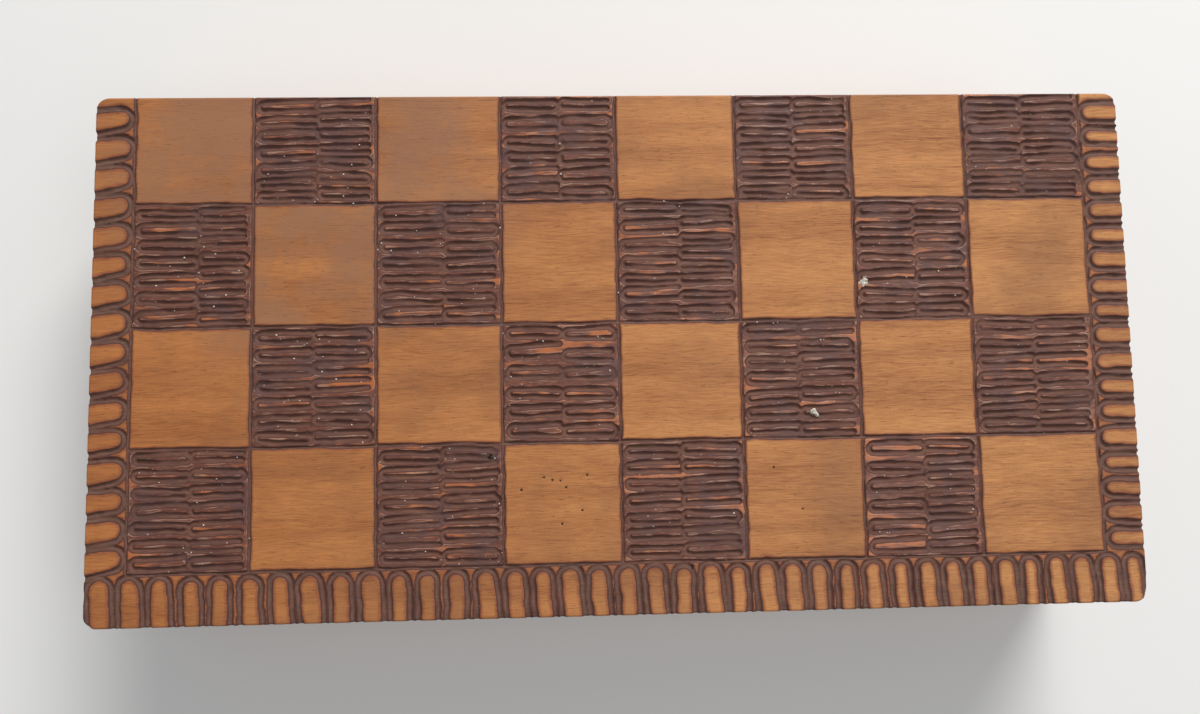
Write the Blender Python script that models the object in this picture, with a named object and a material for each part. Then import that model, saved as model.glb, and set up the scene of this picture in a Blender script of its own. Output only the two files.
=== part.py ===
"""Folding wooden games box: a burned chess board outside, a backgammon set inside.

The closed box lies on the XY plane with its origin at the middle of its underside. X runs along
the box, the hinges are on the +Y side, the catch is on the -Y side and +Z is up. The two trays are
mirror images about the parting plane, where the hinge axis lies.
"""

import math

import bmesh
import bpy
from mathutils import Matrix, Vector

# Box, in metres
BOX_WIDTH = 0.240
BOX_DEPTH = 0.120
HALF_HEIGHT = 0.020
PARTING_GAP = 0.0004
PANEL_THICKNESS = 0.005
RAIL_THICKNESS = 0.007
CORNER_RADIUS = 0.003
PANEL_EDGE = 0.0006
FINGERS = 3
WOOD_GAP = 0.0003
METAL_GAP = 0.00015

# Butt hinges
HINGE_OFFSET = 0.075
LEAF_WIDTH = 0.020
LEAF_THICKNESS = 0.0008
LEAF_SHOULDER = 0.001
LEAF_CORNER_CLEARANCE = 0.00025
BARREL_RADIUS = 0.0015
BARREL_TO_WOOD = 0.0002
PIN_RADIUS = 0.00075
PIN_HEAD_RADIUS = 0.0012
PIN_HEAD_THICKNESS = 0.0005
SCREW_SPACING = 0.013
SCREW_HEAD_RADIUS = 0.0015
SCREW_SHANK_RADIUS = 0.0007
SCREW_LENGTH = 0.0068

# Catch: a wire hook on the upper tray that swings under a peg on the lower one
HOOK_LENGTH = 0.019
HOOK_WIRE_RADIUS = 0.0006
HOOK_TAIL = 0.0028
SHANK_THINNING = 0.97
SHANK_BEND_RISE = 2.2
CROOK_START = 150
CROOK_END = 270
LATCH_ANGLE = math.radians(35)
CATCH_PIVOT_RISE = 0.0092
CATCH_PIN_RADIUS = 0.001
CATCH_PIN_HEAD_RADIUS = 0.0019
CATCH_PIN_HEAD_THICKNESS = 0.0007
CATCH_PIN_DOME = ((0, 1), (0.6, 0.85), (1, 0.4), (1, 0))
CATCH_PIN_PLAY = 0.0002
CATCH_PIN_COVER = 0.002

# Playing pieces
POINTS_PER_END = 6
CHECKER_SPACING = 0.00065
CHECKER_THICKNESS = 0.0065
CHECKER_CHAMFER = 0.0008
CHECKER_ROWS = 3
CHECKER_COLUMNS = 5
DIE_SIZE = 0.010
DIE_ROUNDING = 0.0012
DIE_SPACING = 0.022

# How finely round shapes are divided, and the angle up to which they are shaded smooth
CORNER_STEPS = 5
KNUCKLE_STEPS = 20
PIN_STEPS = 24
SCREW_STEPS = 16
CATCH_PIN_STEPS = 20
WIRE_SIDES = 8
RING_STEPS = 24
BEND_STEPS = 6
CROOK_STEPS = 8
CHECKER_STEPS = 24
DIE_STEPS = 2
SMOOTH_TURNED = 40
SMOOTH_DIE = 50
SMOOTH_WIRE = 60
MERGE_DISTANCE = 1e-7
SAME_HEIGHT = 1e-6
CUTTER_MARGIN = 0.001

# Worked out from the sizes above
PARTING_Z = HALF_HEIGHT + PARTING_GAP / 2
TOTAL_HEIGHT = 2 * PARTING_Z
RAIL_FOOT = PANEL_THICKNESS + WOOD_GAP
HINGE_Y = BOX_DEPTH / 2 + BARREL_TO_WOOD + BARREL_RADIUS
HINGE_AXIS = Vector((0, HINGE_Y, PARTING_Z))
LEAF_INNER_Y = BOX_DEPTH / 2 - RAIL_THICKNESS + LEAF_SHOULDER
LEAF_SINK = PARTING_GAP / 2 + LEAF_THICKNESS
KNUCKLE_WIDTH = LEAF_WIDTH / 3
SCREW_Y = (LEAF_INNER_Y + BOX_DEPTH / 2) / 2
FRONT_Y = -BOX_DEPTH / 2
CATCH_REACH = METAL_GAP + 2 * HOOK_WIRE_RADIUS + METAL_GAP
HOOK_RING_RADIUS = CATCH_PIN_RADIUS + CATCH_PIN_PLAY + HOOK_WIRE_RADIUS
CATCH_PIVOT = Vector(
    (
        -HOOK_LENGTH * math.sin(LATCH_ANGLE) / 2,
        FRONT_Y - METAL_GAP - HOOK_WIRE_RADIUS,
        PARTING_Z + CATCH_PIVOT_RISE,
    )
)
CATCH_PEG = CATCH_PIVOT + HOOK_LENGTH * Vector((math.sin(LATCH_ANGLE), 0, -math.cos(LATCH_ANGLE)))
POINT_WIDTH = (BOX_DEPTH - 2 * RAIL_THICKNESS) / POINTS_PER_END
CHECKER_RADIUS = (POINT_WIDTH - CHECKER_SPACING) / 2


# ---------------------------------------------------------------- tools


def clear_scene():
    for thing in list(bpy.data.objects):
        bpy.data.objects.remove(thing, do_unlink=True)


def make_material(name, colour, roughness, metallic=0.0):
    made = bpy.data.materials.new(name)
    made.use_nodes = True
    shader = made.node_tree.nodes["Principled BSDF"]
    shader.inputs["Base Color"].default_value = (*colour, 1)
    shader.inputs["Roughness"].default_value = roughness
    shader.inputs["Metallic"].default_value = metallic
    made.diffuse_color = (*colour, 1)
    return made


def make_empty(name, location, parent=None):
    empty = bpy.data.objects.new(name, None)
    empty.empty_display_size = 0.01
    bpy.context.scene.collection.objects.link(empty)
    place(empty, location, parent)
    return empty


def place(thing, location, parent):
    """Puts a thing at a world location, under a parent that is unturned and unscaled."""
    thing.location = location
    while parent is not None:
        if thing.parent is None:
            thing.parent = parent
        thing.location = Vector(thing.location) - Vector(parent.location)
        parent = parent.parent


def make_object(name, mesh, material=None, location=(0, 0, 0), parent=None, smooth=None):
    made = bpy.data.objects.new(name, mesh)
    bpy.context.scene.collection.objects.link(made)
    place(made, location, parent)
    if material is not None:
        mesh.materials.clear()
        mesh.materials.append(material)
    if smooth is not None:
        mesh.shade_smooth()
        mesh.set_sharp_from_angle(angle=math.radians(smooth))
    return made


def to_mesh(form, name):
    bmesh.ops.recalc_face_normals(form, faces=form.faces)
    mesh = bpy.data.meshes.new(name)
    form.to_mesh(mesh)
    form.free()
    return mesh


def box_mesh(name, low, high):
    form = bmesh.new()
    low, high = Vector(low), Vector(high)
    size = high - low
    turn = Matrix.Translation((low + high) / 2) @ Matrix.Diagonal((*size, 1))
    bmesh.ops.create_cube(form, size=1, matrix=turn)
    return to_mesh(form, name)


def prism_mesh(name, outline, start, sweep):
    """An outline of 3-D points, shifted by start and swept along a vector."""
    form = bmesh.new()
    corners = [form.verts.new(Vector(point) + Vector(start)) for point in outline]
    base = form.faces.new(corners)
    swept = bmesh.ops.extrude_face_region(form, geom=[base])
    moved = [item for item in swept["geom"] if isinstance(item, bmesh.types.BMVert)]
    bmesh.ops.translate(form, verts=moved, vec=Vector(sweep))
    return to_mesh(form, name)


def turned_mesh(name, profile, steps, axis="Z"):
    """A solid turned about an axis from (radius, height) points that start and end on the axis."""
    form = bmesh.new()
    points = [form.verts.new((radius, 0, height)) for radius, height in profile]
    edges = [form.edges.new(pair) for pair in zip(points, points[1:])]
    bmesh.ops.spin(
        form,
        geom=points + edges,
        cent=(0, 0, 0),
        axis=(0, 0, 1),
        angle=2 * math.pi,
        steps=steps,
        use_merge=True,
    )
    bmesh.ops.remove_doubles(form, verts=form.verts, dist=MERGE_DISTANCE)
    turns = {
        "X": Matrix.Rotation(math.pi / 2, 4, "Y"),
        "-Y": Matrix.Rotation(math.pi / 2, 4, "X"),
        "Z": Matrix.Identity(4),
        "-Z": Matrix.Rotation(math.pi, 4, "X"),
    }
    bmesh.ops.transform(form, matrix=turns[axis], verts=form.verts)
    return to_mesh(form, name)


def make_cutter(name, mesh, location=(0, 0, 0), parent=None):
    cutter = make_object(name, mesh, location=location, parent=parent)
    cutter.hide_render = True
    cutter.display_type = "WIRE"
    return cutter


def combine(target, tool, operation="DIFFERENCE"):
    step = target.modifiers.new(f"{operation.lower()}_{tool.name}", "BOOLEAN")
    step.operation = operation
    step.solver = "EXACT"
    step.object = tool


def arc(centre, radius, start, end, steps):
    """Points along an arc, with its angles in degrees."""
    angles = [math.radians(start + (end - start) * i / steps) for i in range(steps + 1)]
    return [(centre[0] + radius * math.cos(a), centre[1] + radius * math.sin(a)) for a in angles]


def tray_z(side, height):
    """Height above a tray's outer face, as a world Z. Side 1 is the lower tray, -1 the upper."""
    return height if side > 0 else TOTAL_HEIGHT - height


# ---------------------------------------------------------------- trays


def footprint(width, depth, radius):
    """Rounded rectangle, counter-clockwise."""
    x = width / 2 - radius
    y = depth / 2 - radius
    corners = ((x, y, 0), (-x, y, 90), (-x, -y, 180), (x, -y, 270))
    points = []
    for corner_x, corner_y, start in corners:
        points += arc((corner_x, corner_y), radius, start, start + 90, CORNER_STEPS)
    return points


def make_panel(name, side, material, parent):
    """Board panel over a tray's whole footprint, with its outer edge eased."""
    outer = tray_z(side, 0)
    outline = [(x, y, 0) for x, y in footprint(BOX_WIDTH, BOX_DEPTH, CORNER_RADIUS)]
    mesh = prism_mesh(name, outline, (0, 0, outer), (0, 0, side * PANEL_THICKNESS))
    form = bmesh.new()
    form.from_mesh(mesh)
    rim = [e for e in form.edges if all(abs(v.co.z - outer) < SAME_HEIGHT for v in e.verts)]
    bmesh.ops.bevel(form, geom=rim, offset=PANEL_EDGE, segments=1, affect="EDGES")
    form.to_mesh(mesh)
    form.free()
    return make_object(name, mesh, material, parent=parent)


def finger_outline(even_reach, odd_reach, trim):
    """Half outline of a rail end, as (reach, height) from the panel up to the rim.

    Trim narrows the odd fingers, so that they slide between the other rail's even ones.
    """
    pitch = (HALF_HEIGHT - RAIL_FOOT) / FINGERS
    points = []
    for level in range(FINGERS):
        low = RAIL_FOOT + level * pitch
        high = low + pitch
        if level % 2:
            points += [(odd_reach, low + trim), (odd_reach, high - trim)]
        else:
            low_trim = trim if level > 0 else 0
            high_trim = trim if level < FINGERS - 1 else 0
            points += [(even_reach, low - low_trim), (even_reach, high + high_trim)]
    return points


def make_rail(name, side, along, face, material, parent, rounding):
    """One tray rail. Along is "X" or "Y", and face is the side of the box it stands on, 1 or -1."""
    if along == "X":
        length, across = BOX_WIDTH / 2, BOX_DEPTH / 2
        notched = length - RAIL_THICKNESS - WOOD_GAP
        half = finger_outline(length, notched, 0)
    else:
        length, across = BOX_DEPTH / 2, BOX_WIDTH / 2
        notched = length - RAIL_THICKNESS - WOOD_GAP
        half = finger_outline(notched, length, WOOD_GAP)
    flat = half + [(-reach, height) for reach, height in reversed(half)]
    outer = face * across
    sweep = -face * RAIL_THICKNESS
    if along == "X":
        outline = [(reach, outer, tray_z(side, height)) for reach, height in flat]
        mesh = prism_mesh(name, outline, (0, 0, 0), (0, sweep, 0))
    else:
        outline = [(outer, reach, tray_z(side, height)) for reach, height in flat]
        mesh = prism_mesh(name, outline, (0, 0, 0), (sweep, 0, 0))
    rail = make_object(name, mesh, material, parent=parent)
    combine(rail, rounding, "INTERSECT")
    return rail


def make_tray(label, side, material, parent, rounding):
    """A panel and its four rails. Returns the rails by name."""
    make_panel(f"{label}_panel", side, material, parent)
    rails = {}
    layout = (("front", "X", -1), ("back", "X", 1), ("left", "Y", -1), ("right", "Y", 1))
    for word, along, face in layout:
        name = f"{label}_{word}_rail"
        rails[word] = make_rail(name, side, along, face, material, parent, rounding)
    return rails


# ---------------------------------------------------------------- hinges


def leaf_outline(side):
    """Section of a leaf and its knuckle, as (y, z) from the hinge axis.

    The plate lies flush with the tray's rim and its knuckle is a full round about the axis.
    """
    near = -PARTING_GAP / 2
    far = -LEAF_SINK
    inner = LEAF_INNER_Y - HINGE_Y
    start = math.degrees(math.atan2(far, -math.sqrt(BARREL_RADIUS**2 - far**2))) % 360
    end = math.degrees(math.atan2(near, -math.sqrt(BARREL_RADIUS**2 - near**2))) % 360 + 360
    points = [(inner, near), (inner, far)] + arc((0, 0), BARREL_RADIUS, start, end, KNUCKLE_STEPS)
    return [(y, side * z) for y, z in points]


def screw_profile(gap):
    """Countersunk screw from its flat head at 0 down to its point, widened by a gap for its hole."""
    head = SCREW_HEAD_RADIUS + gap
    shank = SCREW_SHANK_RADIUS + gap
    cone = SCREW_HEAD_RADIUS - SCREW_SHANK_RADIUS
    tip = -(SCREW_LENGTH + gap)
    top = [(0, gap), (head, gap)] if gap else [(0, 0)]
    return top + [(head, 0), (shank, -cone), (shank, tip + shank), (0, tip)]


def make_hinge(label, x, materials, parents, back_rails):
    """A butt hinge let into the two back rails, with its pin and its four screws."""
    centre = HINGE_AXIS + Vector((x, 0, 0))
    edge = LEAF_WIDTH / 2
    clear = BARREL_RADIUS + LEAF_CORNER_CLEARANCE
    bore_radius = PIN_RADIUS + METAL_GAP
    bore_end = LEAF_WIDTH
    bore_profile = [(0, -bore_end), (bore_radius, -bore_end), (bore_radius, bore_end), (0, bore_end)]
    bore = turned_mesh(f"{label}_bore", bore_profile, PIN_STEPS, axis="X")
    bore_cutter = make_cutter(f"{label}_bore_cutter", bore, centre)
    knuckle = KNUCKLE_WIDTH / 2
    gaps = {
        1: [(-knuckle - METAL_GAP / 2, knuckle + METAL_GAP / 2)],
        -1: [(-LEAF_WIDTH, -knuckle + METAL_GAP / 2), (knuckle - METAL_GAP / 2, LEAF_WIDTH)],
    }
    for side, word in ((1, "lower"), (-1, "upper")):
        outline = [(-edge, y, z) for y, z in leaf_outline(side)]
        mesh = prism_mesh(f"{label}_{word}_leaf", outline, (0, 0, 0), (LEAF_WIDTH, 0, 0))
        leaf = make_object(
            f"{label}_{word}_leaf", mesh, materials["brass"], centre, parents[word], SMOOTH_TURNED
        )
        for number, (low, high) in enumerate(gaps[side]):
            notch = box_mesh(
                f"{label}_{word}_notch", (low, -clear, -2 * clear), (high, 2 * clear, 2 * clear)
            )
            combine(leaf, make_cutter(f"{label}_{word}_notch_{number}", notch, centre))
        combine(leaf, bore_cutter)
        floor = LEAF_SINK + WOOD_GAP
        inner = LEAF_INNER_Y - WOOD_GAP - HINGE_Y
        mortise = box_mesh(
            f"{label}_{word}_mortise",
            (-edge - WOOD_GAP, inner, min(0, -side * floor)),
            (edge + WOOD_GAP, BARREL_RADIUS, max(0, -side * floor)),
        )
        combine(back_rails[word], make_cutter(f"{label}_{word}_mortise_cutter", mortise, centre))
        for number, offset in enumerate((-SCREW_SPACING / 2, SCREW_SPACING / 2), 1):
            name = f"{label}_{word}_screw_{number}"
            spot = (x + offset, SCREW_Y, PARTING_Z - side * PARTING_GAP / 2)
            axis = "Z" if side > 0 else "-Z"
            screw = turned_mesh(name, screw_profile(0), SCREW_STEPS, axis)
            make_object(name, screw, materials["screw"], spot, parents[word], SMOOTH_TURNED)
            hole_mesh = turned_mesh(f"{name}_hole", screw_profile(METAL_GAP), SCREW_STEPS, axis)
            hole = make_cutter(f"{name}_hole", hole_mesh, spot)
            combine(leaf, hole)
            combine(back_rails[word], hole)
    reach = edge + METAL_GAP
    head = reach + PIN_HEAD_THICKNESS
    profile = [
        (0, -head),
        (PIN_HEAD_RADIUS, -head),
        (PIN_HEAD_RADIUS, -reach),
        (PIN_RADIUS, -reach),
        (PIN_RADIUS, reach),
        (PIN_HEAD_RADIUS, reach),
        (PIN_HEAD_RADIUS, head),
        (0, head),
    ]
    pin = turned_mesh(f"{label}_pin", profile, PIN_STEPS, axis="X")
    make_object(f"{label}_pin", pin, materials["brass"], centre, parents["lower"], SMOOTH_TURNED)


# ---------------------------------------------------------------- catch


def hook_route():
    """Centreline of the hook below its ring, as (x, z) from the pivot: shank, crook and tail."""
    crook = (0, -HOOK_LENGTH)
    turn_in = arc(crook, HOOK_RING_RADIUS, CROOK_START, CROOK_END, CROOK_STEPS)
    top = Vector((0, -HOOK_RING_RADIUS))
    bend = Vector((0, -HOOK_LENGTH + SHANK_BEND_RISE * HOOK_RING_RADIUS))
    entry = Vector(turn_in[0])
    pull = (bend - entry).length / 3
    leave = bend + Vector((0, -pull))
    angle = math.radians(CROOK_START)
    arrive = entry - pull * Vector((-math.sin(angle), math.cos(angle)))
    curve = []
    for step in range(BEND_STEPS):
        t = step / BEND_STEPS
        s = 1 - t
        curve.append(s**3 * bend + 3 * s * s * t * leave + 3 * s * t * t * arrive + t**3 * entry)
    tail = (HOOK_TAIL, -HOOK_LENGTH - HOOK_RING_RADIUS)
    return [tuple(top)] + [tuple(point) for point in curve] + turn_in + [tail]


def wire_mesh(name, route):
    """The hook's wire along a route of (x, z) points, as a closed mesh."""
    path = bpy.data.curves.new(name, "CURVE")
    path.dimensions = "3D"
    path.bevel_depth = HOOK_WIRE_RADIUS * SHANK_THINNING
    path.bevel_resolution = 1
    path.use_fill_caps = True
    spline = path.splines.new("POLY")
    spline.points.add(len(route) - 1)
    for point, (x, z) in zip(spline.points, route):
        point.co = (x, 0, z, 1)
    bent = bpy.data.objects.new(name, path)
    form = bmesh.new()
    form.from_mesh(bent.to_mesh())
    bpy.data.objects.remove(bent, do_unlink=True)
    bmesh.ops.remove_doubles(form, verts=form.verts, dist=MERGE_DISTANCE)
    return to_mesh(form, name)


def make_hook(material, parent):
    """A wire ring about the pivot, joined to a wire that ends in an open crook."""
    form = bmesh.new()
    section = []
    for i in range(WIRE_SIDES):
        angle = 2 * math.pi * i / WIRE_SIDES
        radius = HOOK_RING_RADIUS + HOOK_WIRE_RADIUS * math.cos(angle)
        section.append(form.verts.new((radius, HOOK_WIRE_RADIUS * math.sin(angle), 0)))
    edges = [form.edges.new((section[i - 1], section[i])) for i in range(WIRE_SIDES)]
    bmesh.ops.spin(
        form,
        geom=section + edges,
        cent=(0, 0, 0),
        axis=(0, 1, 0),
        angle=2 * math.pi,
        steps=RING_STEPS,
        use_merge=True,
    )
    bmesh.ops.remove_doubles(form, verts=form.verts, dist=MERGE_DISTANCE)
    mesh = to_mesh(form, "catch_hook")
    hook = make_object("catch_hook", mesh, material, CATCH_PIVOT, parent, SMOOTH_WIRE)
    shank = make_cutter("hook_shank", wire_mesh("hook_shank", hook_route()), CATCH_PIVOT, parent)
    combine(hook, shank, "UNION")
    return hook


def catch_pin_profile(gap):
    """Round-headed pin that stands out of the front, from its head at the front to its point."""
    radius = CATCH_PIN_RADIUS + gap
    depth = HOOK_WIRE_RADIUS + METAL_GAP + RAIL_THICKNESS - CATCH_PIN_COVER + gap
    under = CATCH_REACH / 2
    if gap:
        return [(0, under), (radius, under), (radius, -depth), (0, -depth)]
    head = [
        (CATCH_PIN_HEAD_RADIUS * out, under + CATCH_PIN_HEAD_THICKNESS * up)
        for out, up in CATCH_PIN_DOME
    ]
    return head + [(radius, under), (radius, radius - depth), (0, -depth)]


def make_catch_pin(name, spot, material, parent, rail):
    mesh = turned_mesh(name, catch_pin_profile(0), CATCH_PIN_STEPS, axis="-Y")
    make_object(name, mesh, material, spot, parent, SMOOTH_TURNED)
    hole = turned_mesh(f"{name}_hole", catch_pin_profile(METAL_GAP), CATCH_PIN_STEPS, axis="-Y")
    combine(rail, make_cutter(f"{name}_hole", hole, spot))


# ---------------------------------------------------------------- playing pieces


def checker_mesh(name):
    """A turned disc with eased edges, standing on its origin."""
    top = CHECKER_THICKNESS
    ease = CHECKER_CHAMFER
    profile = [
        (0, 0),
        (CHECKER_RADIUS - ease, 0),
        (CHECKER_RADIUS, ease),
        (CHECKER_RADIUS, top - ease),
        (CHECKER_RADIUS - ease, top),
        (0, top),
    ]
    return turned_mesh(name, profile, CHECKER_STEPS)


def make_checkers(colour, end, material, parent):
    """Fifteen checkers in rows on the points at one end of the lower tray."""
    mesh = checker_mesh(f"checker_{colour}")
    first_x = BOX_WIDTH / 2 - RAIL_THICKNESS - CHECKER_SPACING - CHECKER_RADIUS
    pitch = 2 * CHECKER_RADIUS + CHECKER_SPACING
    number = 0
    for row in range(CHECKER_ROWS):
        for column in range(CHECKER_COLUMNS):
            number += 1
            x = end * (first_x - row * pitch)
            y = BOX_DEPTH / 2 - RAIL_THICKNESS - (column + 0.5) * POINT_WIDTH
            spot = (x, y, PANEL_THICKNESS + WOOD_GAP)
            make_object(f"checker_{colour}_{number:02d}", mesh, material, spot, parent, SMOOTH_TURNED)


def make_dice(material, parent):
    """Two cubes with rounded edges in the middle of the lower tray."""
    form = bmesh.new()
    lift = Matrix.Translation((0, 0, DIE_SIZE / 2))
    bmesh.ops.create_cube(form, size=DIE_SIZE, matrix=lift)
    bmesh.ops.bevel(
        form, geom=form.edges[:], offset=DIE_ROUNDING, segments=DIE_STEPS, profile=0.5, affect="EDGES"
    )
    mesh = to_mesh(form, "die")
    for number, side in ((1, -1), (2, 1)):
        spot = (0, side * DIE_SPACING / 2, PANEL_THICKNESS + WOOD_GAP)
        make_object(f"die_{number}", mesh, material, spot, parent, SMOOTH_DIE)


# ---------------------------------------------------------------- assembly


def build():
    clear_scene()
    materials = {
        "board": make_material("honey_wood", (0.46, 0.27, 0.12), 0.5),
        "light": make_material("pale_wood", (0.62, 0.43, 0.23), 0.45),
        "dark": make_material("burned_wood", (0.10, 0.045, 0.025), 0.45),
        "brass": make_material("brass", (0.62, 0.44, 0.19), 0.35, 1.0),
        "screw": make_material("screw_brass", (0.52, 0.38, 0.18), 0.4, 1.0),
        "bone": make_material("bone_white", (0.78, 0.73, 0.62), 0.3),
    }
    parents = {
        "lower": make_empty("lower_tray_base", (0, 0, 0)),
        "upper": make_empty("upper_tray_pivot", HINGE_AXIS),
    }
    outline = [(x, y, 0) for x, y in footprint(BOX_WIDTH, BOX_DEPTH, CORNER_RADIUS)]
    tall = TOTAL_HEIGHT + 2 * CUTTER_MARGIN
    block = prism_mesh("corner_rounding", outline, (0, 0, -CUTTER_MARGIN), (0, 0, tall))
    rounding = make_cutter("corner_rounding", block)
    lower = make_tray("lower", 1, materials["board"], parents["lower"], rounding)
    upper = make_tray("upper", -1, materials["board"], parents["upper"], rounding)

    back_rails = {"lower": lower["back"], "upper": upper["back"]}
    for label, x in (("left_hinge", -HINGE_OFFSET), ("right_hinge", HINGE_OFFSET)):
        make_hinge(label, x, materials, parents, back_rails)

    make_catch_pin("catch_pivot_screw", CATCH_PIVOT, materials["brass"], parents["upper"], upper["front"])
    make_catch_pin("catch_peg", CATCH_PEG, materials["brass"], parents["lower"], lower["front"])
    make_hook(materials["brass"], parents["upper"])

    make_checkers("light", -1, materials["light"], parents["lower"])
    make_checkers("dark", 1, materials["dark"], parents["lower"])
    make_dice(materials["bone"], parents["lower"])


build()
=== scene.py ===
"""Looks of a folding games box: burned and waxed wood, turned checkers, bone dice and worn brass.

Lengths are in metres. A board face is made flat and face up about its own middle, with its hinge
edge towards +Y, and is then laid on its side of the box.
"""

import math
import random

import bmesh
import bpy
import numpy as np
from mathutils import Matrix, Vector


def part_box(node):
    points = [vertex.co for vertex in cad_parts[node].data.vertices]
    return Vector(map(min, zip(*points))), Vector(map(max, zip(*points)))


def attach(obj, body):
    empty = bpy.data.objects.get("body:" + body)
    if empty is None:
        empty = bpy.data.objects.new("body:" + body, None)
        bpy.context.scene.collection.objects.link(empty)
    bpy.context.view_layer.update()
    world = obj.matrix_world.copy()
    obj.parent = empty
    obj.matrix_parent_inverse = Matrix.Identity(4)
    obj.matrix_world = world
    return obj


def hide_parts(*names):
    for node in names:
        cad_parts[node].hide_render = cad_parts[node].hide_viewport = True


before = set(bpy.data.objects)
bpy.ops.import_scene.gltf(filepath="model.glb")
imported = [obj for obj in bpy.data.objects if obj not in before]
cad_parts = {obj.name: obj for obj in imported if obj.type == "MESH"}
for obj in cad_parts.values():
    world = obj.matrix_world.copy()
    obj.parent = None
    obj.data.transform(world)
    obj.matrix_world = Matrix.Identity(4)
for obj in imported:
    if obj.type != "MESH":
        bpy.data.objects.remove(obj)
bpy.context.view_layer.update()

MM = 0.001

# ---------------------------------------------------------------- sizes taken from the frame

PANEL_LOW, PANEL_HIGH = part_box("upper_panel")
HALF_X = PANEL_HIGH[0]
HALF_Y = PANEL_HIGH[1]
TOP_Z = PANEL_HIGH[2]
PANEL_THICKNESS = PANEL_HIGH[2] - PANEL_LOW[2]
CORNER_RADIUS = 3 * MM
EDGE_ROUNDING = 0.4 * MM

# The squares were ruled by hand, so no two are quite the same width
BORDER_LEFT = 9.1 * MM
COLUMN_WIDTHS = [width * MM for width in (26.9, 28.0, 28.6, 26.8, 28.2, 27.5, 27.1, 28.4)]
ROW_DEPTHS = [depth * MM for depth in (25.3, 28.4, 27.3, 27.4)]

STROKE_WIDTH = 1.4 * MM
LOOP_PITCH = 3.6 * MM
ARCH_PITCHES_NEAR = (6.7 * MM, 6.0 * MM)
ARCH_PITCHES_LEFT = (6.4 * MM, 6.6 * MM)
ARCH_PITCHES_RIGHT = (5.9 * MM, 6.1 * MM)
CARVED_LAYER = 2 * MM
FLOOR_LAYER = 1.2 * MM
CLEAN = 3.0


def running(start, steps):
    """The start and each place reached from it, step by step."""
    places = [start]
    for step in steps:
        places.append(places[-1] + step)
    return places


COLUMN_LINES = running(-HALF_X + BORDER_LEFT, COLUMN_WIDTHS)
ROW_LINES = running(HALF_Y, [-depth for depth in ROW_DEPTHS])

# ---------------------------------------------------------------- node trees


def node(tree, kind, feeds=(), **settings):
    """Adds a node. Feeds are its inputs by name or number, each a value or another node's output."""
    made = tree.nodes.new(kind)
    for name, value in settings.items():
        setattr(made, name, value)
    for key, value in dict(feeds).items():
        socket = made.inputs[key]
        if isinstance(value, bpy.types.NodeSocket):
            tree.links.new(value, socket)
        else:
            socket.default_value = value
    return made


def calc(tree, operation, *values, clamp=False):
    return node(tree, "ShaderNodeMath", enumerate(values), operation=operation, use_clamp=clamp).outputs[0]


def along(tree, operation, *values):
    """Vector maths. The last value of SCALE is a number."""
    feeds = dict(enumerate(values))
    if operation == "SCALE":
        feeds = {0: values[0], "Scale": values[1]}
    made = node(tree, "ShaderNodeVectorMath", feeds, operation=operation)
    return made.outputs["Value" if operation in ("LENGTH", "DISTANCE", "DOT_PRODUCT") else "Vector"]


def noise(tree, place, scale, detail=2.0, roughness=0.5):
    return node(
        tree,
        "ShaderNodeTexNoise",
        {"Vector": place, "Scale": scale, "Detail": detail, "Roughness": roughness},
    ).outputs


def span(tree, value, low, high, to_low=0.0, to_high=1.0, smooth=True):
    """A value mapped from one range to another, held at both ends."""
    made = node(
        tree,
        "ShaderNodeMapRange",
        {"Value": value, "From Min": low, "From Max": high, "To Min": to_low, "To Max": to_high},
        interpolation_type="SMOOTHSTEP" if smooth else "LINEAR",
    )
    return made.outputs[0]


def mix(tree, share, first, second, mode="MIX"):
    made = node(tree, "ShaderNodeMix", {0: share, 6: first, 7: second}, data_type="RGBA", blend_type=mode)
    return made.outputs[2]


def new_tree(name, kind, inputs, outputs):
    """A node group. Inputs and outputs are {label: (socket kind, default)}."""
    tree = bpy.data.node_groups.new(name, kind)
    for in_out, sockets in (("INPUT", inputs), ("OUTPUT", outputs)):
        for label, (form, default) in sockets.items():
            made = tree.interface.new_socket(label, in_out=in_out, socket_type=f"NodeSocket{form}")
            if default is not None:
                made.default_value = default
    start = tree.nodes.new("NodeGroupInput")
    end = tree.nodes.new("NodeGroupOutput")
    return tree, start.outputs, end.inputs


def use(tree, group, feeds):
    kind = "GeometryNodeGroup" if tree.bl_idname == "GeometryNodeTree" else "ShaderNodeGroup"
    made = tree.nodes.new(kind)
    made.node_tree = group
    for key, value in feeds.items():
        socket = made.inputs[key]
        if isinstance(value, bpy.types.NodeSocket):
            tree.links.new(value, socket)
        else:
            socket.default_value = value
    return made.outputs


# ---------------------------------------------------------------- shader groups


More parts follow.
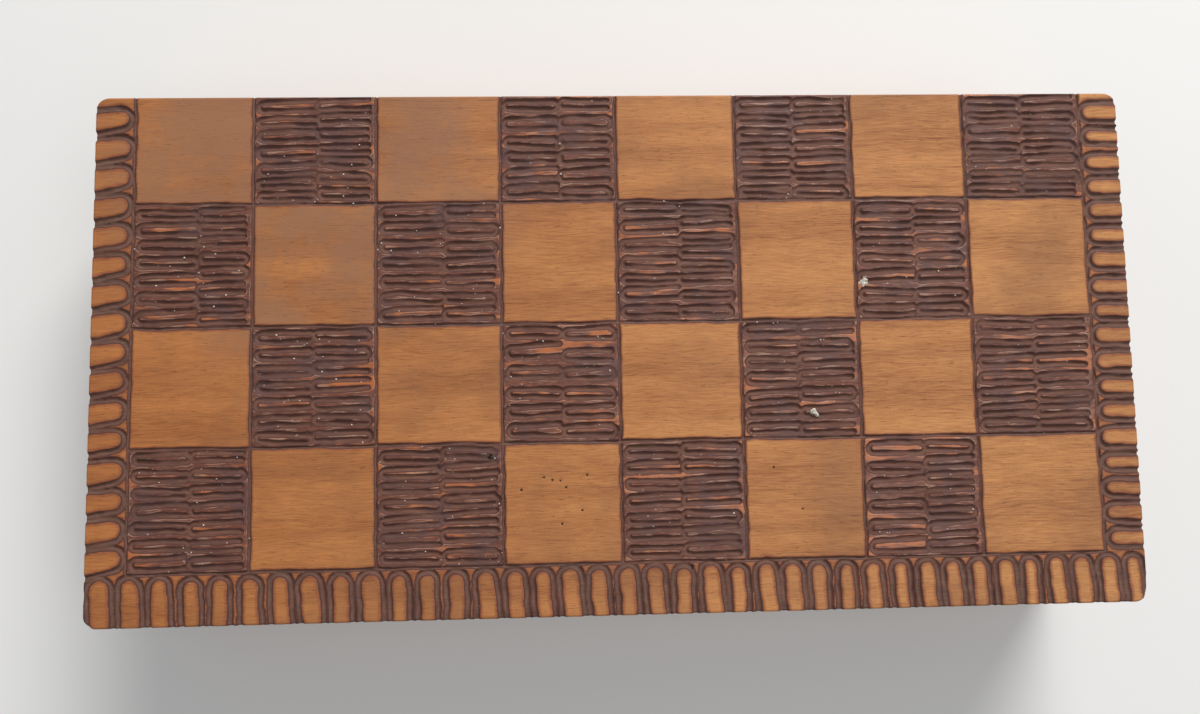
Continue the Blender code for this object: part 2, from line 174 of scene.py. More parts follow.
def wood_figure_group():
    """Wood along X: broad streaks, fine fibres, growth lines and short dark pores."""
    tree, given, out = new_tree(
        "wood_figure",
        "ShaderNodeTree",
        {
            "Vector": ("Vector", None),
            "Pale": ("Color", (0.5, 0.3, 0.15, 1)),
            "Deep": ("Color", (0.3, 0.15, 0.07, 1)),
            "Streaks": ("Float", 1.0),
            "Pores": ("Float", 1.0),
        },
        {"Color": ("Color", None), "Height": ("Float", None)},
    )
    place = along(tree, "SCALE", given["Vector"], 1000.0)
    slow = along(tree, "MULTIPLY", place, (0.015, 0.13, 0.13))
    broad = noise(tree, slow, 1.0, 4.0, 0.55)[0]
    wander = noise(tree, along(tree, "SCALE", place, 0.08), 1.0, 2.0, 0.4)[1]
    bent = along(tree, "ADD", place, along(tree, "MULTIPLY", wander, (0.0, 1.8, 0.0)))
    lines = noise(tree, along(tree, "MULTIPLY", bent, (0.06, 2.0, 0.5)), 1.0, 2.0, 0.5)[0]
    line = calc(tree, "MULTIPLY", span(tree, lines, 0.57, 0.66), span(tree, broad, 0.35, 0.6))
    fibre = noise(tree, along(tree, "MULTIPLY", bent, (0.22, 4.2, 3.0)), 1.0, 3.0, 0.65)[0]
    ray = noise(tree, along(tree, "MULTIPLY", place, (3.0, 0.5, 3.0)), 1.0, 2.0, 0.5)[0]
    fleck_place = along(tree, "MULTIPLY", bent, (0.45, 4.5, 4.5))
    fleck = span(tree, noise(tree, fleck_place, 1.0, 2.0, 0.55)[0], 0.64, 0.74)
    share = calc(tree, "MULTIPLY", span(tree, broad, 0.3, 0.7), 0.42)
    share = calc(tree, "MULTIPLY_ADD", line, 0.24, share)
    share = calc(tree, "MULTIPLY_ADD", span(tree, fibre, 0.3, 0.7), 0.42, share)
    share = calc(tree, "MULTIPLY_ADD", span(tree, ray, 0.35, 0.7), 0.04, share)
    share = calc(tree, "MULTIPLY", share, given["Streaks"], clamp=True)
    colour = mix(tree, share, given["Pale"], given["Deep"])
    dark = calc(tree, "MULTIPLY", fleck, given["Pores"])
    colour = mix(tree, calc(tree, "MULTIPLY", dark, 0.45), colour, (0.09, 0.04, 0.02, 1))
    height = calc(tree, "MULTIPLY_ADD", fibre, 0.5, calc(tree, "MULTIPLY", dark, -0.8))
    tree.links.new(colour, out["Color"])
    tree.links.new(height, out["Height"])
    return tree


def burned_marks_group():
    """Burned strokes over wood. Stroke is 0 on a stroke's middle, 1 at its edge and under 0 in a pit.

    Stained is 1 where the wood between the strokes is stained dark, and 0 where it is clean.
    """
    tree, given, out = new_tree(
        "burned_marks",
        "ShaderNodeTree",
        {
            "Vector": ("Vector", None),
            "Wood": ("Color", (0.5, 0.3, 0.15, 1)),
            "Stroke": ("Float", 2.0),
            "Stained": ("Float", 0.0),
            "Roughness": ("Float", 0.5),
        },
        {
            "Color": ("Color", None),
            "Roughness": ("Float", None),
            "Gloss": ("Float", None),
            "Height": ("Float", None),
        },
    )
    place = along(tree, "SCALE", given["Vector"], 1000.0)
    patch = noise(tree, along(tree, "MULTIPLY", place, (0.06, 0.28, 0.28)), 1.0, 3.0, 0.6)[0]
    cloud = noise(tree, along(tree, "ADD", place, (40, 9, 3)), 0.11, 3.0, 0.55)[0]
    grit = noise(tree, along(tree, "MULTIPLY", place, (0.5, 3.2, 3.2)), 1.0, 4.0, 0.68)[0]
    streak = noise(tree, along(tree, "MULTIPLY", place, (0.16, 2.6, 2.6)), 1.0, 3.0, 0.6)[0]
    stained = given["Stained"]

    warm = mix(tree, span(tree, patch, 0.38, 0.64), (0.118, 0.045, 0.031, 1), (0.158, 0.058, 0.036, 1))
    grey = mix(tree, span(tree, grit, 0.25, 0.8), (0.095, 0.047, 0.034, 1), (0.185, 0.1, 0.073, 1))
    greyness = calc(tree, "MULTIPLY_ADD", stained, -0.3, 0.75)
    greyness = calc(tree, "MULTIPLY", greyness, span(tree, cloud, 0.3, 0.6, 0.5, 1.2), clamp=True)
    ribbon = mix(tree, greyness, warm, grey)
    rim = mix(tree, patch, (0.068, 0.028, 0.022, 1), (0.1, 0.035, 0.025, 1))

    # Crest colour: dark red-brown stain, with lighter flecks by noise that are painted highlight; it colours the
    # ridges and the stained ground.
    crest = mix(tree, span(tree, grit, 0.5, 0.72), (0.155, 0.05, 0.032, 1), (0.3, 0.15, 0.09, 1))
    glow = mix(tree, span(tree, patch, 0.52, 0.62), crest, (0.44, 0.135, 0.042, 1))
    halo = mix(tree, span(tree, grit, 0.3, 0.7), (0.2, 0.062, 0.028, 1), (0.34, 0.108, 0.04, 1))
    ridge = mix(tree, stained, halo, glow)
    ground = mix(tree, stained, given["Wood"], glow)

    stroke = calc(tree, "ADD", given["Stroke"], calc(tree, "MULTIPLY_ADD", grit, 0.3, -0.15))
    # Spine: a lighter colour along each stroke's middle, a painted highlight on the floor of the groove.
    spine = calc(tree, "MULTIPLY", span(tree, stroke, 0.12, 0.34, 1.0, 0.0), span(tree, patch, 0.35, 0.6))
    ribbon = mix(tree, calc(tree, "MULTIPLY", spine, 0.5), ribbon, (0.22, 0.105, 0.075, 1))
    colour = mix(tree, span(tree, stroke, 0.52, 0.85), ribbon, rim)
    colour = mix(tree, span(tree, stroke, 1.0, 1.2), colour, ridge)
    # Glint: pale colour painted along the lit edges of the strokes on stained wood, a painted highlight.
    glint_place = along(tree, "MULTIPLY", place, (0.22, 0.6, 0.6))
    glint = span(tree, noise(tree, glint_place, 1.0, 2.0, 0.5)[0], 0.48, 0.64)
    lit_edge = calc(tree, "MULTIPLY", span(tree, stroke, 1.02, 1.12), span(tree, stroke, 1.22, 1.4, 1.0, 0.0))
    glint = calc(tree, "MULTIPLY", calc(tree, "MULTIPLY", glint, lit_edge), calc(tree, "MULTIPLY", stained, 0.5))
    colour = mix(tree, span(tree, stroke, 1.1, 2.4), colour, ground)
    scorched = calc(tree, "MULTIPLY", span(tree, streak, 0.5, 0.62), calc(tree, "MULTIPLY", stained, 0.4))
    colour = mix(tree, scorched, colour, rim)
    flared = calc(tree, "MULTIPLY", span(tree, streak, 0.42, 0.32), calc(tree, "MULTIPLY", stained, 0.35))
    colour = mix(tree, flared, colour, (0.26, 0.1, 0.055, 1))
    smear = calc(tree, "MULTIPLY", span(tree, cloud, 0.5, 0.66), calc(tree, "MULTIPLY", stained, 0.65))
    colour = mix(tree, smear, colour, (0.1, 0.048, 0.044, 1))
    # Painted highlight: the pale glint colour laid over those lit edges.
    colour = mix(tree, glint, colour, (0.5, 0.3, 0.21, 1))
    # Pits are painted near black: painted shade standing for the depth of the holes.
    colour = mix(tree, span(tree, given["Stroke"], -0.3, 0.0, 1.0, 0.0), colour, (0.012, 0.007, 0.005, 1))

    crested = span(tree, stroke, 0.95, 1.3)
    rough = calc(tree, "MULTIPLY_ADD", crested, calc(tree, "SUBTRACT", given["Roughness"], 0.62), 0.62)
    rough = calc(tree, "MULTIPLY_ADD", grit, 0.12, rough)
    gloss = calc(tree, "MULTIPLY", crested, calc(tree, "MULTIPLY_ADD", stained, 0.5, 0.08))
    gloss = calc(tree, "MULTIPLY", gloss, span(tree, patch, 0.3, 0.65))
    inside = span(tree, stroke, 0.7, 1.1, 1.0, 0.0)
    tree.links.new(colour, out["Color"])
    tree.links.new(rough, out["Roughness"])
    tree.links.new(gloss, out["Gloss"])
    tree.links.new(calc(tree, "MULTIPLY", inside, grit), out["Height"])
    return tree


def handling_group():
    """Years of use: darker greasy clouds, a greyed patch about one place, and light specks of dust."""
    tree, given, out = new_tree(
        "handling",
        "ShaderNodeTree",
        {
            "Vector": ("Vector", None),
            "Color": ("Color", (0.5, 0.3, 0.15, 1)),
            "Clouds": ("Float", 0.3),
            "Rubbed": ("Float", 0.3),
            "Rubbed Place": ("Vector", (0, 0, 0)),
            "Rubbed Reach": ("Float", 0.055),
            "Specks": ("Float", 0.5),
        },
        {"Color": ("Color", None), "Mask": ("Float", None)},
    )
    place = along(tree, "SCALE", given["Vector"], 1000.0)
    cloud = span(tree, noise(tree, place, 0.035, 4.0, 0.6)[0], 0.42, 0.68)
    rubbed = span(tree, noise(tree, along(tree, "ADD", place, (71, 13, 5)), 0.05, 4.0, 0.6)[0], 0.35, 0.6)
    gap = along(tree, "DISTANCE", given["Vector"], given["Rubbed Place"])
    close = calc(tree, "DIVIDE", gap, given["Rubbed Reach"])
    rubbed = calc(tree, "MULTIPLY", rubbed, span(tree, close, 0.55, 1.1, 1.0, 0.0))
    colour = mix(tree, calc(tree, "MULTIPLY", cloud, given["Clouds"]), given["Color"], (0.2, 0.085, 0.04, 1))
    colour = mix(tree, calc(tree, "MULTIPLY", rubbed, given["Rubbed"]), colour, (0.3, 0.145, 0.08, 1))
    spots = node(tree, "ShaderNodeTexVoronoi", {"Vector": place, "Scale": 0.5}).outputs["Distance"]
    few = span(tree, noise(tree, place, 0.16, 1.0)[0], 0.5, 0.58)
    speck = calc(tree, "MULTIPLY", span(tree, spots, 0.05, 0.09, 1.0, 0.0), few)
    speck = calc(tree, "MULTIPLY", speck, given["Specks"])
    colour = mix(tree, speck, colour, (0.5, 0.44, 0.38, 1))
    tree.links.new(colour, out["Color"])
    tree.links.new(calc(tree, "ADD", rubbed, speck, clamp=True), out["Mask"])
    return tree


WOOD_FIGURE = wood_figure_group()
BURNED_MARKS = burned_marks_group()
HANDLING = handling_group()

# ---------------------------------------------------------------- materials


def new_material(name, **constants):
    """A material with its Principled shader, whose constant inputs are set by label."""
    made = bpy.data.materials.new(name)
    made.use_nodes = True
    tree = made.node_tree
    shader = tree.nodes["Principled BSDF"]
    for label, value in constants.items():
        shader.inputs[label.replace("_", " ")].default_value = value
    place = node(tree, "ShaderNodeTexCoord").outputs["Object"]
    return made, tree, shader, place


def add_bump(tree, shader, height, distance, strength=1.0):
    bump = node(tree, "ShaderNodeBump", {"Height": height, "Distance": distance, "Strength": strength})
    tree.links.new(bump.outputs[0], shader.inputs["Normal"])


def attribute(tree, name):
    return node(tree, "ShaderNodeAttribute", attribute_name=name).outputs["Fac"]


def board_wood(name, left, right, deep, clouds, rubbed, rubbed_place=(0, 0, 0)):
    """Carved board: honey wood whose colour runs from its left end to its right one, burned strokes, wax; on the top
    board the lighter right end is partly painted light.
    """
    made, tree, shader, place = new_material(name, Specular_IOR_Level=0.3, Coat_Roughness=0.16)
    x = node(tree, "ShaderNodeSeparateXYZ", {0: place}).outputs[0]
    # Colour running from the left end to the right one: the wood's own tone, and on the top board partly painted
    # light, lighter where more light falls.
    pale = mix(tree, span(tree, x, -HALF_X, HALF_X, smooth=False), left, right)
    wood = use(tree, WOOD_FIGURE, {"Vector": place, "Pale": pale, "Deep": deep, "Pores": 0.95})
    stained = attribute(tree, "stained")
    worn = use(
        tree,
        HANDLING,
        {
            "Vector": place,
            "Color": wood["Color"],
            "Clouds": clouds,
            "Rubbed": rubbed,
            "Rubbed Place": rubbed_place,
            "Specks": 0.0,
        },
    )
    burned = use(
        tree,
        BURNED_MARKS,
        {
            "Vector": place,
            "Wood": worn["Color"],
            "Stroke": attribute(tree, "stroke"),
            "Stained": stained,
            "Roughness": 0.5,
        },
    )
    dust = calc(tree, "MULTIPLY_ADD", stained, 0.65, 0.25)
    dusty = use(
        tree,
        HANDLING,
        {"Vector": place, "Color": burned["Color"], "Clouds": 0.0, "Rubbed": 0.0, "Specks": dust},
    )
    tree.links.new(dusty["Color"], shader.inputs["Base Color"])
    tree.links.new(burned["Roughness"], shader.inputs["Roughness"])
    tree.links.new(burned["Gloss"], shader.inputs["Coat Weight"])
    height = calc(tree, "ADD", wood["Height"], burned["Height"])
    add_bump(tree, shader, height, 0.06 * MM)
    return made


def plain_wood(name, pale, deep, quarter_turn=False, roughness=0.5, specks=0.3):
    """Waxed wood with its grain along X, or along Y after a quarter turn. Cut ends are darker."""
    made, tree, shader, place = new_material(name, Coat_Weight=0.12, Coat_Roughness=0.4)
    turned = node(tree, "ShaderNodeMapping", {"Vector": place, "Rotation": (0, 0, math.pi / 2 * quarter_turn)})
    wood = use(tree, WOOD_FIGURE, {"Vector": turned.outputs[0], "Pale": pale, "Deep": deep, "Pores": 0.8})
    rings_place = along(tree, "SCALE", place, 1000.0)
    rings = noise(tree, along(tree, "MULTIPLY", rings_place, (2.0, 2.0, 1.1)), 1.0, 4.0, 0.7)[0]
    cut_end = attribute(tree, "end_grain")
    share = calc(tree, "MULTIPLY", cut_end, span(tree, rings, 0.3, 0.7, 0.45, 0.85))
    colour = mix(tree, share, wood["Color"], (0.16, 0.075, 0.035, 1))
    worn = use(
        tree,
        HANDLING,
        {"Vector": place, "Color": colour, "Clouds": 0.35, "Rubbed": 0.2, "Specks": specks},
    )
    tree.links.new(worn["Color"], shader.inputs["Base Color"])
    rough = calc(tree, "MULTIPLY_ADD", worn["Mask"], 0.12, roughness)
    tree.links.new(rough, shader.inputs["Roughness"])
    add_bump(tree, shader, wood["Height"], 0.05 * MM)
    return made


def worn_brass(name, bright, dull, roughness):
    """Brass with brown tarnish in clouds and fine scratches."""
    made, tree, shader, place = new_material(name, Metallic=1.0)
    mm = along(tree, "SCALE", place, 1000.0)
    cloud = noise(tree, mm, 0.22, 3.0, 0.55)[0]
    scratch = noise(tree, along(tree, "MULTIPLY", mm, (0.5, 9.0, 3.0)), 1.0, 3.0, 0.6)[0]
    tarnish = span(tree, cloud, 0.4, 0.68)
    tree.links.new(mix(tree, tarnish, bright, dull), shader.inputs["Base Color"])
    rough = calc(tree, "MULTIPLY_ADD", tarnish, 0.25, roughness)
    rough = calc(tree, "MULTIPLY_ADD", scratch, 0.15, rough)
    tree.links.new(rough, shader.inputs["Roughness"])
    add_bump(tree, shader, scratch, 0.02 * MM)
    return made


def bone(name):
    """Yellowed bone with fine pores, and dark dots where the pip attribute is high."""
    made, tree, shader, place = new_material(name, Coat_Weight=0.3, Coat_Roughness=0.2)
    mm = along(tree, "SCALE", place, 1000.0)
    cloud = noise(tree, mm, 0.3, 4.0, 0.6)[0]
    streak = noise(tree, along(tree, "MULTIPLY", mm, (0.6, 5.0, 0.6)), 1.0, 2.0, 0.6)[0]
    colour = mix(tree, span(tree, cloud, 0.3, 0.7), (0.74, 0.66, 0.5, 1), (0.6, 0.48, 0.31, 1))
    pore = span(tree, streak, 0.66, 0.74)
    colour = mix(tree, calc(tree, "MULTIPLY", pore, 0.4), colour, (0.3, 0.2, 0.1, 1))
    pip = span(tree, attribute(tree, "pip"), 0.15, 0.45)
    tree.links.new(mix(tree, pip, colour, (0.02, 0.015, 0.012, 1)), shader.inputs["Base Color"])
    tree.links.new(calc(tree, "MULTIPLY_ADD", pip, 0.3, 0.28), shader.inputs["Roughness"])
    add_bump(tree, shader, streak, 0.01 * MM)
    return made


def glue_and_seam_shade(name):
    """Old brown glue and dirt, deep in the joints, near black: partly their own colour and partly painted shade in
    the seams.
    """
    made, tree, shader, place = new_material(name, Roughness=0.8)
    cloud = noise(tree, along(tree, "SCALE", place, 1000.0), 0.8, 3.0)[0]
    tree.links.new(mix(tree, cloud, (0.03, 0.015, 0.008, 1), (0.09, 0.045, 0.02, 1)), shader.inputs["Base Color"])
    return made


def chalk(name):
    """Off-white crumbs of chalk and wax."""
    made, tree, shader, place = new_material(name, Roughness=0.85)
    cloud = noise(tree, along(tree, "SCALE", place, 1000.0), 1.6, 3.0)[0]
    colour = mix(tree, span(tree, cloud, 0.35, 0.65), (0.5, 0.45, 0.38, 1), (0.74, 0.7, 0.62, 1))
    tree.links.new(colour, shader.inputs["Base Color"])
    add_bump(tree, shader, cloud, 0.05 * MM)
    return made


def backdrop(name):
    made, tree, shader, place = new_material(name, Roughness=0.9)
    cloud = noise(tree, place, 3.0, 2.0)[0]
    tree.links.new(mix(tree, cloud, (0.81, 0.81, 0.8, 1), (0.84, 0.84, 0.83, 1)), shader.inputs["Base Color"])
    return made


# Top board: its lighter, yellower right end is partly the wood's own tone and partly painted light.
TOP_WOOD = board_wood(
    "top_board_wood",
    (0.53, 0.2, 0.059, 1),
    (0.655, 0.305, 0.107, 1),
    (0.25, 0.082, 0.026, 1),
    0.4,
    0.75,
    (-72 * MM, 42 * MM, TOP_Z),
)
BOTTOM_WOOD = board_wood(
    "bottom_board_wood", (0.48, 0.19, 0.06, 1), (0.44, 0.165, 0.05, 1), (0.22, 0.078, 0.028, 1), 0.5, 0.7
)
INNER_WOOD = board_wood(
    "table_wood", (0.56, 0.27, 0.1, 1), (0.54, 0.26, 0.095, 1), (0.3, 0.12, 0.045, 1), 0.15, 0.2
)
PANEL_SIDE_WOOD = plain_wood("panel_side_wood", (0.47, 0.2, 0.07, 1), (0.25, 0.09, 0.033, 1))
LONG_RAIL_WOOD = plain_wood("long_rail_wood", (0.42, 0.175, 0.062, 1), (0.23, 0.085, 0.032, 1))
SHORT_RAIL_WOOD = plain_wood("short_rail_wood", (0.4, 0.165, 0.058, 1), (0.22, 0.08, 0.03, 1), quarter_turn=True)
PALE_CHECKER_WOOD = plain_wood(
    "pale_checker_wood", (0.66, 0.42, 0.2, 1), (0.45, 0.25, 0.11, 1), roughness=0.4, specks=0.1
)
DARK_CHECKER_WOOD = plain_wood(
    "dark_checker_wood", (0.085, 0.035, 0.02, 1), (0.03, 0.013, 0.009, 1), roughness=0.36, specks=0.2
)
HINGE_BRASS = worn_brass("hinge_brass", (0.62, 0.43, 0.18, 1), (0.36, 0.23, 0.1, 1), 0.3)
CATCH_BRASS = worn_brass("catch_brass", (0.68, 0.48, 0.2, 1), (0.3, 0.19, 0.08, 1), 0.22)
BONE = bone("bone")
GLUE_AND_SEAM_SHADE = glue_and_seam_shade("old_glue_and_seam_shade")
CHALK = chalk("chalk")

# ---------------------------------------------------------------- geometry node trees


def named(tree, name, form="FLOAT"):
    return node(tree, "GeometryNodeInputNamedAttribute", {"Name": name}, data_type=form).outputs[0]


def chance(tree, low, high, seed, form="FLOAT"):
    """A random value for each point, steady for a seed."""
    labels = {"FLOAT": (2, 3, 1), "FLOAT_VECTOR": (0, 1, 0)}
    first, second, result = labels[form]
    made = node(tree, "FunctionNodeRandomValue", {first: low, second: high, "Seed": seed}, data_type=form)
    return made.outputs[result]


def burned_loops_tree():
    """Draws one loop at each mark: a round head, two legs and, on some, a round tail.

    A mark carries the loop's width between its legs (gape), their length (reach), its turn and how
    far its right leg splays out.
    """
    tree, given, out = new_tree(
        "burned_loops",
        "GeometryNodeTree",
        {
            "Marks": ("Geometry", None),
            "Drift": ("Float", 0.2 * MM),
            "Lean": ("Float", 0.03),
            "Closed Share": ("Float", 0.5),
            "Seed": ("Int", 1),
        },
        {"Strokes": ("Geometry", None)},
    )
    drift = given["Drift"]
    high = node(tree, "ShaderNodeCombineXYZ", {0: drift, 1: drift}).outputs[0]
    low = along(tree, "SCALE", high, -1.0)
    shift = chance(tree, low, high, given["Seed"], "FLOAT_VECTOR")
    marks = node(tree, "GeometryNodeSetPosition", {"Geometry": given["Marks"], "Offset": shift}).outputs[0]
    gape = calc(tree, "MULTIPLY", named(tree, "gape"), chance(tree, 0.88, 1.1, given["Seed"]))
    reach = calc(tree, "MULTIPLY", named(tree, "reach"), chance(tree, 0.96, 1.03, given["Seed"]))
    lean = calc(tree, "MULTIPLY", chance(tree, -1.0, 1.0, given["Seed"]), given["Lean"])
    angle = calc(tree, "ADD", named(tree, "turn"), lean)
    splayed = calc(tree, "ADD", angle, named(tree, "splay"))

    def rotation(about_z):
        euler = node(tree, "ShaderNodeCombineXYZ", {2: about_z}).outputs[0]
        return node(tree, "FunctionNodeEulerToRotation", {0: euler}).outputs[0]

    turn = rotation(angle)

    def edges(curve):
        return node(tree, "GeometryNodeCurveToMesh", {"Curve": curve}).outputs[0]

    def half_ring(start):
        ring = {"Resolution": 9, "Radius": 0.5, "Start Angle": start, "Sweep Angle": math.pi}
        return edges(node(tree, "GeometryNodeCurveArc", ring, mode="RADIUS").outputs[0])

    def leg(side):
        ends = {"Start": (0, side, 0), "End": (1, side, 0)}
        return edges(node(tree, "GeometryNodeCurvePrimitiveLine", ends).outputs[0])

    far = node(tree, "ShaderNodeCombineXYZ", {0: reach}).outputs[0]
    far = node(tree, "FunctionNodeRotateVector", {"Vector": far, "Rotation": turn}).outputs[0]
    even = node(tree, "ShaderNodeCombineXYZ", {0: gape, 1: gape, 2: 1.0}).outputs[0]
    long = node(tree, "ShaderNodeCombineXYZ", {0: reach, 1: gape, 2: 1.0}).outputs[0]
    closed = node(
        tree,
        "FunctionNodeCompare",
        {0: chance(tree, 0.0, 1.0, given["Seed"]), 1: given["Closed Share"]},
        data_type="FLOAT",
        operation="LESS_THAN",
    ).outputs[0]
    ends = node(tree, "GeometryNodeSetPosition", {"Geometry": marks, "Offset": far}).outputs[0]
    everything = node(tree, "GeometryNodeJoinGeometry")
    for points, shape, size, facing, chosen in (
        (marks, half_ring(math.pi / 2), even, turn, True),
        (marks, leg(-0.5), long, turn, True),
        (marks, leg(0.5), long, rotation(splayed), True),
        (ends, half_ring(-math.pi / 2), even, turn, closed),
    ):
        feeds = {"Points": points, "Instance": shape, "Rotation": facing, "Scale": size, "Selection": chosen}
        scattered = node(tree, "GeometryNodeInstanceOnPoints", feeds)
        tree.links.new(scattered.outputs[0], everything.inputs[0])
    drawn = node(tree, "GeometryNodeRealizeInstances", {"Geometry": everything.outputs[0]})
    tree.links.new(drawn.outputs[0], out["Strokes"])
    return tree


def edge_fall(tree, place, half_size, radius, rounding):
    """How far a face falls away at its rounded outer edge, and how near the edge a point is, 0 to 1."""
    x, y, _ = node(tree, "ShaderNodeSeparateXYZ", {0: place}).outputs
    half = node(tree, "ShaderNodeSeparateXYZ", {0: half_size}).outputs
    past_x = calc(tree, "SUBTRACT", calc(tree, "ABSOLUTE", x), calc(tree, "SUBTRACT", half[0], radius))
    past_y = calc(tree, "SUBTRACT", calc(tree, "ABSOLUTE", y), calc(tree, "SUBTRACT", half[1], radius))
    outside = node(
        tree,
        "ShaderNodeCombineXYZ",
        {0: calc(tree, "MAXIMUM", past_x, 0.0), 1: calc(tree, "MAXIMUM", past_y, 0.0)},
    ).outputs[0]
    inside = calc(tree, "MINIMUM", calc(tree, "MAXIMUM", past_x, past_y), 0.0)
    beyond = calc(tree, "SUBTRACT", calc(tree, "ADD", along(tree, "LENGTH", outside), inside), radius)
    near = calc(tree, "ADD", calc(tree, "DIVIDE", beyond, rounding), 1.0, clamp=True)
    near = calc(tree, "MINIMUM", near, 0.985)
    arc = calc(tree, "SQRT", calc(tree, "SUBTRACT", 1.0, calc(tree, "MULTIPLY", near, near)))
    return calc(tree, "MULTIPLY", calc(tree, "SUBTRACT", 1.0, arc), rounding), near


def carve_tree(loops):
    """Sinks burned strokes into a flat sheet and stores how far each point is from a stroke.

    Stroke is 0 on a stroke's middle, 1 at its edge and more on the wood. It is under 0 in a pit.
    """
    tree, given, out = new_tree(
        "carve",
        "GeometryNodeTree",
        {
            "Geometry": ("Geometry", None),
            "Loop Marks": ("Object", None),
            "Lines": ("Object", None),
            "Pits": ("Object", None),
            "Stroke Width": ("Float", STROKE_WIDTH),
            "Line Width": ("Float", 0.8 * MM),
            "Pit Radius": ("Float", 0.32 * MM),
            "Depth": ("Float", 0.45 * MM),
            "Wobble": ("Float", 0.5 * MM),
            "Closed Share": ("Float", 0.5),
            "Half Size": ("Vector", (HALF_X, HALF_Y, 0)),
            "Corner Radius": ("Float", CORNER_RADIUS),
            "Edge Rounding": ("Float", EDGE_ROUNDING),
            "Nibble": ("Vector", (0, 0, 0)),
            "Seed": ("Int", 1),
            "Material": ("Material", None),
        },
        {"Geometry": ("Geometry", None)},
    )

    def shape_of(label):
        return node(tree, "GeometryNodeObjectInfo", {"Object": given[label]}).outputs["Geometry"]

    place = node(tree, "GeometryNodeInputPosition").outputs[0]
    seeded = along(tree, "ADD", place, node(tree, "ShaderNodeCombineXYZ", {2: given["Seed"]}).outputs[0])
    slow = noise(tree, along(tree, "MULTIPLY", seeded, (150.0, 260.0, 1.0)), 1.0, 2.0)[1]
    bend = along(tree, "MULTIPLY", along(tree, "SUBTRACT", slow, (0.5, 0.5, 0.5)), (1, 1, 0))
    hand = along(tree, "ADD", place, along(tree, "SCALE", bend, calc(tree, "MULTIPLY", given["Wobble"], 2.0)))
    press = noise(tree, along(tree, "SCALE", seeded, 220.0), 1.0, 2.0)[0]

    strokes = use(
        tree,
        loops,
        {"Marks": shape_of("Loop Marks"), "Closed Share": given["Closed Share"], "Seed": given["Seed"]},
    )["Strokes"]

    def distance(target, form="EDGES"):
        feeds = {0: target, "Sample Position": hand if form == "EDGES" else place}
        return node(tree, "GeometryNodeProximity", feeds, target_element=form).outputs["Distance"]

    def share_of(gap, width):
        """A distance as a share of half a stroke's width, with the hand's uneven pressure."""
        half = calc(tree, "MULTIPLY", width, span(tree, press, 0.25, 0.75, 0.42, 0.58))
        return calc(tree, "DIVIDE", gap, half)

    def hollow(share, depth):
        """A round-bottomed groove, as a depth."""
        inside = calc(tree, "MINIMUM", share, 1.0)
        return calc(tree, "MULTIPLY", calc(tree, "SUBTRACT", 1.0, calc(tree, "POWER", inside, 2.4)), depth)

    loop_share = share_of(distance(strokes), given["Stroke Width"])
    line_share = share_of(distance(shape_of("Lines")), given["Line Width"])
    faded = span(tree, noise(tree, along(tree, "SCALE", seeded, 110.0), 1.0, 2.0)[0], 0.36, 0.56, 0.5, 1.1)
    depth = calc(tree, "MULTIPLY", given["Depth"], span(tree, press, 0.25, 0.75, 0.75, 1.2))
    depth = calc(tree, "MULTIPLY", depth, faded)
    sunk = calc(tree, "MAXIMUM", hollow(loop_share, depth), hollow(line_share, calc(tree, "MULTIPLY", depth, 0.75)))
    pit_share = calc(tree, "DIVIDE", distance(shape_of("Pits"), "POINTS"), given["Pit Radius"])
    sunk = calc(tree, "MAXIMUM", sunk, hollow(pit_share, given["Pit Radius"]))
    in_pit = calc(tree, "SUBTRACT", pit_share, 1.0)
    share = calc(tree, "MINIMUM", loop_share, line_share)
    share = calc(tree, "MULTIPLY", share, span(tree, pit_share, 1.0, 1.6))
    share = calc(tree, "ADD", share, calc(tree, "MINIMUM", in_pit, 0.0))

    fall, near_edge = edge_fall(tree, place, given["Half Size"], given["Corner Radius"], given["Edge Rounding"])
    wave = noise(tree, along(tree, "MULTIPLY", seeded, (25.0, 120.0, 1.0)), 1.0, 3.0)[0]
    unevenness = calc(tree, "MULTIPLY", calc(tree, "SUBTRACT", wave, 0.5), 0.12 * MM)
    drop = calc(tree, "SUBTRACT", unevenness, calc(tree, "ADD", sunk, fall))
    bitten = calc(tree, "MULTIPLY", calc(tree, "DIVIDE", sunk, given["Depth"]), near_edge)
    offset = along(
        tree,
        "ADD",
        node(tree, "ShaderNodeCombineXYZ", {2: drop}).outputs[0],
        along(tree, "SCALE", given["Nibble"], bitten),
    )
    stored = node(
        tree,
        "GeometryNodeStoreNamedAttribute",
        {"Geometry": given["Geometry"], "Name": "stroke", "Value": share},
        data_type="FLOAT",
        domain="POINT",
    )
    moved = node(tree, "GeometryNodeSetPosition", {"Geometry": stored.outputs[0], "Offset": offset})
    real = node(tree, "GeometryNodeRealizeInstances", {"Geometry": moved.outputs[0]})
    dressed = node(tree, "GeometryNodeSetMaterial", {"Geometry": real.outputs[0], "Material": given["Material"]})
    tree.links.new(dressed.outputs[0], out["Geometry"])
    return tree


def grown(mesh, tree, values):
    """The mesh as a tree leaves it, with the tree's inputs given by label."""
    carrier = bpy.data.objects.new("carrier", mesh)
    bpy.context.scene.collection.objects.link(carrier)
    step = carrier.modifiers.new(tree.name, "NODES")
    step.node_group = tree
    for item in tree.interface.items_tree:
        if item.in_out == "INPUT" and item.name in values:
            step[item.identifier] = values[item.name]
    made = baked_mesh(carrier)
    bpy.data.objects.remove(carrier, do_unlink=True)
    return made


def baked_mesh(thing):
    """A plain mesh of a thing with all its modifiers applied."""
    graph = bpy.context.evaluated_depsgraph_get()
    return bpy.data.meshes.new_from_object(thing.evaluated_get(graph), preserve_all_data_layers=True, depsgraph=graph)


# ---------------------------------------------------------------- mesh helpers


